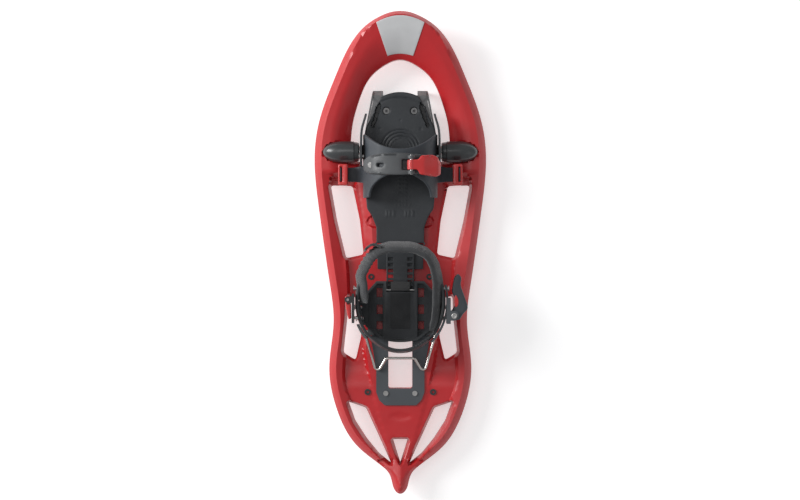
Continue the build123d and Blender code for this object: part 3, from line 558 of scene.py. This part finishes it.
def deck_top(points):
    """The height of the deck's upper skin at each point, with the distance to the nearest edge."""
    x, y = np.abs(points[:, 0]), points[:, 1]
    mirror = np.column_stack((x, y))
    to_outline = distance(points, outline)
    to_holes = np.min([distance(points, hole) for hole in holes], axis=0)
    to_toe = distance(points, toe_hole)
    to_inner = distance(mirror, rail_inner, closed=False)
    to_spine = distance(mirror, spine_line, closed=False)
    in_rail = ~inside(points, rail_loop) | (y < -262)
    in_spine = inside(points, spine_loop)
    # The horseshoe: a sloping outer band, a crease, and a dome that falls to the toe opening.
    band = 5.0 + 4.0 * ease(-y, -285, -240)
    skirt = 26.0 + (RAIL_TOP - 26.0) * np.clip(to_outline / band, 0, 1) ** 0.85
    across = np.clip((to_outline - band) / np.maximum(to_outline + to_toe - band, 1.0), 0, 1)
    dome = np.minimum(skirt, RAIL_TOP + 0.6 * np.sin(pi * np.clip(across * 1.6, 0, 1)) - 12.0 * across**2.4)
    dome = PANEL_Z + (dome - PANEL_Z) * ease(y, 95.0, 104.0)
    # The rear rails: the same band, then a facet and a steep inner wall down to the panel.
    facet = RAIL_TOP - 2.6 * np.clip((to_outline - band) / 9.0, 0, 1.4)
    panel = PANEL_Z + (SPINE_Z - PANEL_Z - 0.8) * ease(-y, 140.0, 172.0)
    wall = panel + (RAIL_TOP - panel) * np.clip(to_inner / 3.8, 0, 1)
    rear = np.where(in_rail, np.minimum(np.minimum(skirt, facet), wall), 0.0)
    rail = np.where(y > 112.0, dome, np.where(y > 95.0, np.maximum(dome, rear), rear))
    # The spine's flat top and its sloping sides.
    width = 5.0 + 8.0 * ease(y, -12.0, 20.0)
    slope = np.where(in_spine, SPINE_Z, SPINE_Z - 9.0 * to_spine / width)
    z = np.maximum(np.maximum(rail, np.where(y > 104, 0, slope)), np.where(in_rail, 0, panel))
    # The tail's ridge, the front windows' fore walls and the rounding at every window.
    tail = 33.0 + 3.0 * ease(-y, 255, 290) - 0.28 * x
    z = np.where((y < -262) & (to_outline > 2), np.minimum(skirt, tail), z)
    fore = (y > 80) & (y < 97) & (x > 57) & (x < 93)
    z = np.where(fore, np.minimum(z, 15.0 + 9.5 * np.clip((y - 86.0) / 7.0, 0, 1) + 30 * (x > 88.7)), z)
    edge = np.clip(to_holes / 3.4, 0, 1)
    z = np.where(y > 118, z, np.minimum(z, 20.5 + (z - 20.5) * edge ** 0.7))
    # Two pockets beside the toe plate's neck, a plain oval at the tail and the seats of the axle caps.
    pocket = ((x - 32.0) / 11.0) ** 2 + ((y - 41.0) / 8.5) ** 2
    z = np.where(pocket < 1, z - 3.0 * np.clip((1 - pocket) * 3, 0, 1), z)
    oval = (x / 14.7) ** 2 + ((y + 207.0) / 4.5) ** 2
    z = np.where(oval < 1, z - 0.7 * np.clip((1 - oval) * 2.5, 0, 1), z)
    cap = 13.7 * np.sqrt(np.clip(1 - (np.clip(x - 74.0, 0, None) / 24.2) ** 2, 0, 1))
    saddle = (x > 52) & (np.abs(y - 128.6) < cap)
    bore = 36.0 - np.sqrt(np.clip(cap**2 - (y - 128.6) ** 2, 0, None))
    z = np.where(saddle & (z > bore), np.maximum(bore, DECK_FOOT + 2.0), z)
    return z + rocker(y), np.minimum(to_outline, to_holes)


def thinned(line, gap=1.6):
    """The line without points closer together than the gap."""
    out = [line[0]]
    for point in line[1:]:
        if hypot(point[0] - out[-1][0], point[1] - out[-1][1]) > gap:
            out.append(point)
    return out


def deck_lines():
    """The lines that the deck's triangles follow: skirt crease, wall foot and top, and spine edges."""
    lines = []
    crease = [p for p in thinned(inset(outline, 9.0)) if -262 < p[1] < 242]
    lines += [[p for p in crease if p[0] > 2], [p for p in crease if p[0] < -2]]
    nose = sorted(p for p in thinned(inset(outline, 5.0)) if p[1] > 286)
    lines.append(nose)
    foot = [p for p in rail_inner if p[1] < 96]
    wall = inset(foot, 3.8)[1:-1]
    spine = [p for p in spine_line if p[1] < 100][:-1]
    for line in (foot, wall, spine):
        lines += [line, [(-x, y) for x, y in line]]
    return [line for line in lines if len(line) > 1]


def clear_runs(line, from_outline, from_holes):
    """The stretches of a line on the deck that keep the given distances from its edges."""
    points = np.array(line)
    fine = inside(points, outline) & (distance(points, outline) > from_outline)
    for hole in holes:
        fine &= ~inside(points, hole) & (distance(points, hole) > from_holes)
    runs = [[]]
    for point, wanted in zip(line, fine):
        if wanted:
            runs[-1].append(point)
        elif runs[-1]:
            runs.append([])
    return [run for run in runs if len(run) > 1]


def build_deck():
    """The moulded shell: its upper skin, its hollow underside and the walls at every edge."""
    extra = [run for line in deck_lines() for run in clear_runs(line, 2.0, 1.2)]
    for loop in [outline] + holes:
        for gap in RIM:
            extra += clear_runs(thinned(inset(loop, gap)), gap - 0.4, gap - 0.4)
    flat, faces = fill([outline] + holes, extra=extra, grid=2.8)
    points = np.array(flat)
    top, edge = deck_top(points)
    foot = DECK_FOOT + rocker(points[:, 1])
    under = np.where(edge < RIM_WIDTH, foot, np.maximum(foot, top - SKIN))
    top = np.maximum(top, under + 1.2)
    count = len(flat)
    verts = [(x, y, z) for (x, y), z in zip(flat, top)] + [(x, y, z) for (x, y), z in zip(flat, under)]
    faces = [face if area([flat[i] for i in face]) > 0 else face[::-1] for face in faces]
    solid = list(faces) + [tuple(i + count for i in reversed(face)) for face in faces]
    used = {}
    for face in faces:
        for a, b in zip(face, face[1:] + face[:1]):
            used[(a, b)] = used.get((a, b), 0) + 1
    for a, b in used:
        if (b, a) not in used:
            solid.append((b, a, a + count, b + count))
    return verts, solid


piece("deck_shell", *build_deck(), "deck", "deck_red", crease=24, replaces=("deck",))


def on_deck(rise):
    """Lays a flat plate on the deck's upper skin."""
    def warp(x, y, z):
        top, _ = deck_top(np.array([(x, y)]))
        return x, y, float(top[0]) + rise + z
    return warp


def arc(half, ends, middle, count=24):
    """A flat arc from -half to half, with y at its ends and at its middle."""
    ways = [2 * i / count - 1 for i in range(count + 1)]
    return [(half * way, middle + (ends - middle) * way**2) for way in ways]


badge = arc(16.2, 249.6, 252.4) + [(x, y) for x, y in reversed(arc(30.3, 290.0, 298.6))]
piece("nose_badge_shell", *plate(straight(badge, 2.5), (-0.6, 0.5), edge=0.4, grid=3.0, warp=on_deck(0.4)),
      "deck", "badge_silver", replaces=("nose_badge",))

# ---------------------------------------------------------------- axle caps
AXLE = (0, 128.6, 36.0)
CAP_PROFILE = [(52, 0.1), (52, 10.6), (53, 12.0), (58, 12.6), (59, 13.4), (74, 13.6)]
for k in range(1, 13):
    turn = radians(90 * k / 12)
    CAP_PROFILE.append((74 + 24 * sin(turn), 13.6 * cos(turn) + 0.02))
for side, name in ((1, "right"), (-1, "left")):
    cap = lathe(CAP_PROFILE, AXLE, 56)
    shell = cap if side > 0 else flip(cap)
    node = f"axle_cap_{name}"
    piece(f"{node}_shell", *shell, "deck", "cap_plastic", crease=30, replaces=(node,))

# ---------------------------------------------------------------- forefoot: plate, flap, buckle and lever
TOE_SIDE = [(24.0, 198.0), (31.0, 188.0), (36.5, 172.0), (43.0, 160.0), (46.5, 142.0), (46.5, 104.0),
            (43.5, 73.0), (42.0, 56.0), (36.0, 48.0), (30.2, 33.0), (30.2, 10.0)]
NOSE_ARC = arc(24.0, 198.0, 204.0, 16)
toe_side = rounded(TOE_SIDE[1:], 3.0)
toe_loop = toe_side + [(-x, y) for x, y in reversed(toe_side)] + NOSE_ARC
# The side hollows beside the wings: pressed down, and given the black finish as painted shade of the gap
# there.
HOLLOW_WITH_PAINTED_SHADE = [(25.5, 191.0), (30.0, 186.0), (34.0, 170.0), (37.0, 160.0), (33.5, 160.0), (28.5, 172.0),
          (24.5, 184.0)]
SCREW = (17.5, 180.0)


def toe_relief(x, y, z):
    """The forefoot plate's moulded pattern of ribs, dimples, dashes, side hollows and a toe groove."""
    if z < 44.9:
        return x, y, z
    ring = hypot(x, y - 132.0)
    if 12 < ring < 26 and y > 120:
        z += 0.45 * sin(2 * pi * ring / 4.2) - 0.2
    for px, py, size in ((0, 168, 1.6), (26, 157, 2.2), (-26, 157, 2.2)):
        z -= 1.0 * max(0.0, 1 - hypot(x - px, y - py) / size)
    if 60 < y < 98 and abs(x - 3) < 7 - (y - 78) * 0.12 and int(y / 2.6) % 2 and int((x + 40) / 2.2) % 2:
        z += 0.5
    if 46 < y < 54 and abs(abs(x) - 12) < 6 and int((x + 60) / 2.4) % 2:
        z += 0.5
    z -= 0.9 * max(0.0, 1 - abs(hypot(x * 0.95, y - 150) - 47) / 1.6) if y > 170 else 0.0
    if inside(np.array([(abs(x), y)]), HOLLOW_WITH_PAINTED_SHADE)[0]:
        z -= 2.8
    return x, y, z


screw_holes = [circle(side * SCREW[0], SCREW[1], 4.6, 28) for side in (1, -1)]
tongue_notches = []
for notch in range(8):
    y = -5.0 - 7.3 * notch
    for side in (1, -1):
        tongue_notches.append(rectangle((side * 12.25 - 3.25, side * 12.25 + 3.25), (y - 4.0, y)))
tongue_loop = rounded(rectangle((-17.5, 17.5), (-74.0, 12.0)), 1.5)
lug = lathe([(38, 4.1), (38, 8.4), (38.6, 9), (47.4, 9), (48, 8.4), (48, 4.1)], AXLE, 36)
toe_parts = join(
    plate(straight(toe_loop, 2.5), (41.0, 45.5), edge=1.0, holes=screw_holes, grid=1.5, warp=toe_relief),
    plate(tongue_loop, (37.0, 41.8), edge=0.5, holes=tongue_notches),
    plate(rounded(rectangle((-29, 29), (-20, 12)), 2.0), (37.0, 39.5), edge=0.5),
    plate(rounded(rectangle((-17.5, 17.5), (8, 100)), 2.0), (37.0, 41.2), edge=0.5),
    lug,
    flip(lug),
    *(plate(circle(side * SCREW[0], SCREW[1], 4.9, 28), (40.8, 43.2), edge=0.1) for side in (1, -1)),
)
toe_plate = piece("toe_plate_shell", *toe_parts, "binding", "plate_plastic", crease=32,
                  replaces=("toe_plate",))
# The screw holes get the black finish, and so do the side hollows, where the black is painted shade.
toe_plate.data.materials.append(MATS["black_plastic"])
for polygon in toe_plate.data.polygons:
    mid = polygon.center / MM
    near_screw = hypot(abs(mid.x) - SCREW[0], mid.y - SCREW[1]) < 4.7
    if mid.z > 41.2 and (near_screw or inside(np.array([(abs(mid.x), mid.y)]), HOLLOW_WITH_PAINTED_SHADE)[0]):
        polygon.material_index = 1


def arch_path(half, foot, top):
    """The line of a strap or buckle over the forefoot, in (X, Z), from left to right."""
    side = [(half, foot), (half - 0.6, foot + 12), (half - 4.0, foot + (top - foot) * 0.52),
            (0.68 * half, top - 8.5), (0.36 * half, top - 1.9), (0, top)]
    return smooth([(-x, z) for x, z in side] + [(x, z) for x, z in reversed(side[:-1])], 2.0)


FLAP_PATH = arch_path(44.0, 45.6, 92.0)
over_foot, flap_length = wrapped(FLAP_PATH, "xz")


def flap_loop():
    """The flap unrolled: a straight strip whose rear is cut round the instep and whose front is scooped."""
    stations = [flap_length * i / 72 for i in range(73)]
    front, rear = [], []
    for s in stations:
        x = over_foot(s, 0, 0)[0]
        front.append((s, 130.0 + 20.0 * min(1.0, abs(x) / 44.0) ** 2.2))
        rear.append((s, 70.0 + 29.5 * sqrt(max(0.0, 1 - (x / 37.0) ** 2))))
    return rear + front[::-1]


TAIL_PATH = [(43.5, 66), (46, 56), (51, 47), (60, 43.9), (69, 43.7), (74, 44.6), (75.2, 49), (75.0, 59)]


def tail_strap(side):
    """One tail of the flap, from its side down and up through the keeper. It widens towards the flap."""
    path = smooth(TAIL_PATH, 2.0)
    if side < 0:
        path = [(-x, z) for x, z in path[::-1]]
    place, length = wrapped(path, "xz")

    def warp(s, t, h):
        spread = max(0.0, 1 - (s if side > 0 else length - s) / 30.0)
        return place(s, 99.5 + (t - 99.5) * (1 + 0.35 * spread), h)

    loop = straight(rounded(rectangle((0, length), (90.5, 108.5)), 2.0), 3.0)
    return plate(loop, (-1.0, 1.0), edge=0.4, grid=2.5, warp=warp)


cover = plate(flap_loop(), (0.0, 3.0), edge=1.1, grid=3.2, warp=over_foot)
flap = join(cover, tail_strap(1), tail_strap(-1))
piece("forefoot_flap_shell", *flap, "binding", "flap_rubber", crease=40, replaces=("forefoot_flap",))

BUCKLE_PATH = arch_path(47.2, 45.6, 95.1)
over_flap, buckle_length = wrapped(BUCKLE_PATH, "xz")
middle = buckle_length / 2
buckle_loop = [(-50, 102.5), (-42, 100.0), (-20, 97.6), (0, 97.2), (30, 98.6), (35.5, 99.5), (35.5, 103.4),
               (3, 103.4), (2, 104.4), (2, 115.4), (3, 116.4), (35.5, 116.4), (35.5, 120.6), (30, 122.4),
               (0, 124.6), (-22, 124.2), (-42, 120.6), (-50, 117.0), (-53, 113.5), (-53, 106.0)]
buckle_loop = [(middle + s, y) for s, y in buckle_loop]
buckle_slot = rounded(rectangle((middle - 28.5, middle - 20.0), (107.5, 111.8)), 2.0)
buckle_loop = straight(rounded(buckle_loop, 1.6), 2.4)
TOE_PIN = (13.6, 0, 102.5)
EAR_Y = (98.2, 117.0)
buckle = join(
    plate(buckle_loop, (0.0, 4.0), edge=1.3, holes=(buckle_slot,), grid=3.0, warp=over_flap),
    *(lathe([(y, 1.9), (y, 4.2), (y + 0.4, 4.5), (y + 3.6, 4.5), (y + 4.0, 4.2), (y + 4.0, 1.9)],
            TOE_PIN, 28, "y") for y in EAR_Y),
    *(plate(rounded(rectangle((10.0, 17.2), (y, y + 4.0)), 1.0), (97.0, 102.5), edge=0.2) for y in EAR_Y),
)
piece("toe_buckle_shell", *buckle, "binding", "grey_plastic", crease=35, replaces=("toe_buckle",))

LEVER_TOP = [(9.5, 105.5), (13, 107.4), (30, 105.2), (46, 97.2), (50, 92.6)]  # (X, Z) of its upper side
lever_loop = [(9.5, 103.6), (21, 103.6), (24.5, 97.5), (44.0, 94.8), (50.0, 98.0), (50.3, 112.0),
              (46.0, 119.5), (40.0, 122.0), (26.0, 121.0), (22.0, 116.0), (9.5, 115.4)]
lever_loop = straight(rounded(lever_loop, 1.8), 2.0)
BARREL = [(103.6, 2.1), (103.6, 4.6), (104.2, 5.1), (114.8, 5.1), (115.4, 4.6), (115.4, 2.1)]


def lever_lift(x, y, z):
    """Bends the flat lever down along the foot and hollows the finger pad."""
    top = float(np.interp(x, [p[0] for p in LEVER_TOP], [p[1] for p in LEVER_TOP]))
    pad = max(0.0, 1 - ((x - 37) / 9) ** 2 - ((y - 108.5) / 9) ** 2) if z > 4.5 else 0.0
    return x, y, top - 5.4 + z - 0.7 * pad


lever = join(
    plate(lever_loop, (0.0, 5.4), edge=1.3, foot_edge=0.8, grid=1.8, warp=lever_lift),
    lathe(BARREL, TOE_PIN, 28, "y"),
)
piece("toe_lever_shell", *lever, "toe_lever", "red_plastic", crease=38, replaces=("toe_lever",))

for side, name in ((1, "right"), (-1, "left")):
    slot_hole = rounded(rectangle((73.0, 75.4), (90.0, 109.0)), 1.0)
    keeper_loop = straight(rounded(rectangle((66.0, 78.0), (85.6, 112.4)), 2.4), 2.5)
    keeper = plate(keeper_loop, (45.7, 60.0), edge=1.6, holes=(slot_hole,), grid=3.0)
    shell = keeper if side > 0 else flip(keeper)
    node = f"keeper_{name}"
    piece(f"{node}_shell", *shell, "binding", "red_plastic", crease=38, replaces=(node,))

# ---------------------------------------------------------------- heel: hoop, strap and their buckles
HOOP_CENTER = -60.0


def ring_path(a, rear, front, turn, step=2.0):
    """A ring round the heel between two angles, counterclockwise, egg shaped from front to rear."""
    count = max(8, int((turn[1] - turn[0]) * max(a, front) / step))
    path = []
    for i in range(count + 1):
        angle = turn[0] + (turn[1] - turn[0]) * i / count
        reach = front if sin(angle) > 0 else rear
        path.append((a * cos(angle), HOOP_CENTER + reach * sin(angle)))
    return path


def between(points, y):
    return float(np.interp(y, [p[0] for p in points], [p[1] for p in points]))


HOOP_LOW = [(-130, 56), (-92, 50), (-60, 47.5), (-38, 66), (-30, 68)]
HOOP_HIGH = [(-130, 84), (-80, 92), (-38, 94), (-30, 94)]
HOOP_LEAN = 2.2
STRAP_LEAN = 8.0
STUFFING_FRAMES = 12
LARGEST_BULGE = 1.6 * MM


def hoop():
    path = ring_path(57.0, 65.5, 78.9, (pi - radians(17), 2 * pi + radians(17)))
    place, length = wrapped(path, "xy")
    low, high = [], []
    steps = 120
    for i in range(steps + 1):
        s = length * i / steps
        x, y, _ = place(s, 0, 0)
        tooth = 0.9 if x > 20 and y < -88 and i % 2 else 0.0
        low.append((s, between(HOOP_LOW, y)))
        high.append((s, between(HOOP_HIGH, y) - tooth))

    def leaning(s, z, h):
        lean = HOOP_LEAN + 4.0 * float(ease(np.array(-place(s, z, h)[1]), 98.0, 114.0))
        return place(s, z, h - lean * max(0.0, (z - 50.0) / 44.0) ** 2)
    return plate(low + high[::-1], (-3.5, 0.0), edge=1.1, foot_edge=1.0, grid=3.4, warp=leaning)


piece("heel_hoop_shell", *hoop(), "heel", "hoop_rubber", crease=38, replaces=("heel_hoop",))

STRAP_LOW = [(-130, 64), (-62, 68), (20, 90)]
STRAP_HIGH = [(-130, 94), (-62, 98), (20, 117.5)]
STRAP_LINE = [(44.5, -97.0), (48.5, -78.0), (49.6, -58.0), (48.2, -25.0), (38.5, -1.5), (20, 9.5),
              (0, 11.8), (-20, 10.2), (-35, 2.0), (-46.5, -14.0), (-52.0, -27.0), (-50.8, -38.0),
              (-49.6, -50.0), (-48.8, -62.0)]


def ankle_strap():
    """The padded band round the instep, with its wrinkled left end and flared front corner."""
    place, length = wrapped(smooth(STRAP_LINE, 2.0), "xy")
    count, band, skin = 150, 14, 3.9
    inner, outer = [], []
    for i in range(count + 1):
        s = length * i / count
        x, y, _ = place(s, 0, 0)
        low, high = between(STRAP_LOW, y), between(STRAP_HIGH, y)
        end = min(1.0, i / 5, (count - i) / 5)
        fold = ease(np.array(-x), 18.0, 40.0) * ease(np.array(y), -34.0, -6.0)
        inner_row, outer_row = [], []
        for k in range(band + 1):
            t = k / band
            z = low + (high - low) * (0.5 + (t - 0.5) * (0.86 + 0.14 * sqrt(end)))
            edge = sqrt(max(0.0, 1 - (2 * t - 1) ** 6))
            seam = 0.9 * max(0.0, 1 - abs(t - 0.13) / 0.05) + 0.9 * max(0.0, 1 - abs(t - 0.87) / 0.05)
            half = (0.9 + (skin - 0.9) * edge) * (0.45 + 0.55 * end) - seam * 0.6
            wrinkle = 0.55 * sin(s * 0.42 + 1.7 * t) * sin(s * 0.13)
            wrinkle += float(fold) * 1.6 * sin(s * 1.1 + 3 * t)
            lean = STRAP_LEAN * t * t
            outer_row.append(place(s, z, half + wrinkle * 0.6 - lean))
            inner_row.append(place(s, z, -half + wrinkle * 0.4 - lean))
        inner.append(inner_row)
        outer.append(outer_row)
    flare_path = [(-24.0, 8.0), (-33.0, 11.5), (-40.0, 8.0), (-45.0, 2.5)]
    place_flare, flare_length = wrapped(smooth(flare_path, 2.0)[::-1], "xy")
    flare_loop = [(0, 88), (4, 91), (8, 89), (14, 93), (flare_length, 92), (flare_length, 115), (12, 113),
                  (7, 108), (3, 110)]
    flare = plate(straight(flare_loop, 2.5), (-1.4, 1.4), edge=0.9, foot_edge=0.9, grid=2.5, warp=place_flare)
    return join(grid_solid(inner, outer), flare)


def settled(obj):
    """Lets the padded band bulge between its seams, as a stuffed cloth held along its length."""
    cloth = obj.modifiers.new("stuffing", "CLOTH")
    cloth.settings.quality = 5
    cloth.settings.mass = 0.1
    cloth.settings.tension_stiffness = 12
    cloth.settings.compression_stiffness = 12
    cloth.settings.bending_stiffness = 0.6
    cloth.settings.use_pressure = True
    cloth.settings.uniform_pressure_force = 3.0
    cloth.settings.effector_weights.gravity = 0.0
    cloth.collision_settings.use_collision = False
    cloth.collision_settings.use_self_collision = False
    cloth.settings.vertex_group_mass = held_group(obj)
    start = np.array([v.co for v in obj.data.vertices])
    for frame_number in range(1, STUFFING_FRAMES + 1):
        bpy.context.scene.frame_set(frame_number)
    depsgraph = bpy.context.evaluated_depsgraph_get()
    end = np.array([v.co for v in obj.evaluated_get(depsgraph).data.vertices])
    bpy.context.scene.frame_set(1)
    obj.modifiers.remove(cloth)
    move = end - start
    far = np.linalg.norm(move, axis=1, keepdims=True)
    move *= LARGEST_BULGE * np.tanh(far / LARGEST_BULGE) / np.maximum(far, 1e-9)
    obj.data.vertices.foreach_set("co", (start + move).ravel())
    obj.data.update()


def held_group(obj):
    """The points that stay where they are: the inner face against the boot, and both ends."""
    group = obj.vertex_groups.new(name="held")
    for vertex in obj.data.vertices:
        x, y, _ = vertex.co / MM
        reach = hypot(x / 56.0, (y - HOOP_CENTER) / (78.0 if y > HOOP_CENTER else 64.0))
        group.add([vertex.index], 1.0 if reach < 1.0 or y < -80 else 0.25, "REPLACE")
    return group.name


strap = piece("ankle_strap_pad", *ankle_strap(), "heel", "strap_foam", crease=60, replaces=("ankle_strap",))
settled(strap)

def star_head(x, y, z, radius):
    """A screw head with a star socket."""
    socket = []
    for i in range(24):
        angle = 2 * pi * i / 24
        socket.append((x + (0.48 + 0.12 * cos(6 * angle)) * radius * cos(angle),
                       y + (0.48 + 0.12 * cos(6 * angle)) * radius * sin(angle)))
    return plate(circle(x, y, radius, 28), (z, z + 1.3), edge=0.5, holes=(socket,))


# Right side: the ratchet's lever, a star-headed pin and the lever's inlay.
LEVER_PLAN = [(64.2, -80.2), (72.8, -82.2), (78.0, -75.0), (83.6, -68.0), (79.5, -52.7), (75.0, -38.7),
              (75.7, -29.8), (71.9, -25.4), (67.6, -29.0), (66.0, -34.9), (64.5, -48.0),
              (69.5, -60.0), (63.3, -73.2)]
LEVER_Z = (72.1, 87.9)
lever_plan = straight(smooth(LEVER_PLAN, 2.5, closed=True), 2.0)
ankle_lever = plate(lever_plan, LEVER_Z, edge=2.0, foot_edge=2.0, grid=2.6)
piece("ankle_lever_shell", *ankle_lever, "ankle_lever", "slate_plastic", crease=36,
      replaces=("ankle_lever",))
inlay = [(68.4, -66.5), (71.5, -64.0), (71.6, -56.5), (68.6, -51.5), (67.2, -56.0)]
piece("ankle_pin_star", *star_head(66.8, -77.2, 94.0, 3.2), "heel", "steel", crease=36)
piece("ankle_lever_inlay", *plate(straight(smooth(inlay, 1.2, closed=True), 1.2), (87.6, 88.3), edge=0.3),
      "ankle_lever", "red_plastic", crease=36)


# Left side: the red release lever and its screw.
LOCK_PLAN = [(62.2, -53.0), (68.6, -52.6), (68.6, -58.0), (67.4, -66.6), (66.0, -74.0), (64.3, -81.4),
             (60.9, -81.0), (61.2, -65.3)]
lock_loop = straight(rounded(LOCK_PLAN, 1.6), 2.0)
lock_lever = flip(plate(lock_loop, (78.2, 91.8), edge=1.2, foot_edge=1.0, grid=2.4))
piece("lock_lever_shell", *lock_lever, "lock_lever", "red_plastic", crease=36, replaces=("lock_lever",))
piece("lock_lever_screw", *star_head(-65.0, -61.5, 91.6, 1.5), "lock_lever", "black_plastic", crease=36)

# ---------------------------------------------------------------- stage, light and camera
floor_mesh = bpy.data.meshes.new("floor")
FLOOR_Z = -0.0005
floor_corners = [(x, y, FLOOR_Z) for x, y in ((-6, -6), (6, -6), (6, 6), (-6, 6))]
floor_mesh.from_pydata(floor_corners, [], [(0, 1, 2, 3)])
floor = bpy.data.objects.new("floor", floor_mesh)
bpy.context.scene.collection.objects.link(floor)
paper = bpy.data.materials.new("paper")
paper.use_nodes = True
paper_shader = paper.node_tree.nodes["Principled BSDF"]
paper_shader.inputs["Base Color"].default_value = (0.82, 0.82, 0.82, 1)
paper_shader.inputs["Roughness"].default_value = 0.9
paper_shader.inputs["Emission Color"].default_value = (1, 1, 1, 1)
paper_shader.inputs["Emission Strength"].default_value = 0.5
floor_mesh.materials.append(paper)


def softbox(name, location, target, size, power, color=(1, 1, 1)):
    light = bpy.data.lights.new(name, "AREA")
    light.shape = "RECTANGLE"
    light.size, light.size_y = size
    light.energy = power
    light.color = color
    obj = bpy.data.objects.new(name, light)
    obj.location = location
    obj.rotation_euler = (Vector(target) - Vector(location)).to_track_quat("-Z", "Y").to_euler()
    bpy.context.scene.collection.objects.link(obj)
    return obj


softbox("key", (-1.9, 0.7, 1.2), (0, 0, 0), (0.9, 1.3), 48)
softbox("fill", (1.9, -0.5, 1.5), (0, 0, 0), (1.6, 1.6), 2)
softbox("top", (-0.5, 0.6, 2.6), (0, 0, 0), (1.2, 1.0), 6)
world = bpy.data.worlds.new("studio")
bpy.context.scene.world = world
world.use_nodes = True
world.node_tree.nodes["Background"].inputs["Color"].default_value = (0.97, 0.98, 1.0, 1)
world.node_tree.nodes["Background"].inputs["Strength"].default_value = 0.36
bpy.context.scene.view_settings.view_transform = "Standard"

camera = bpy.data.cameras.new("camera")
camera.sensor_width = 36.0
camera.lens = 87.5
camera_object = bpy.data.objects.new("camera", camera)
camera_object.location = (-0.0004, 0.0044, 2.5)
bpy.context.scene.collection.objects.link(camera_object)
bpy.context.scene.camera = camera_object
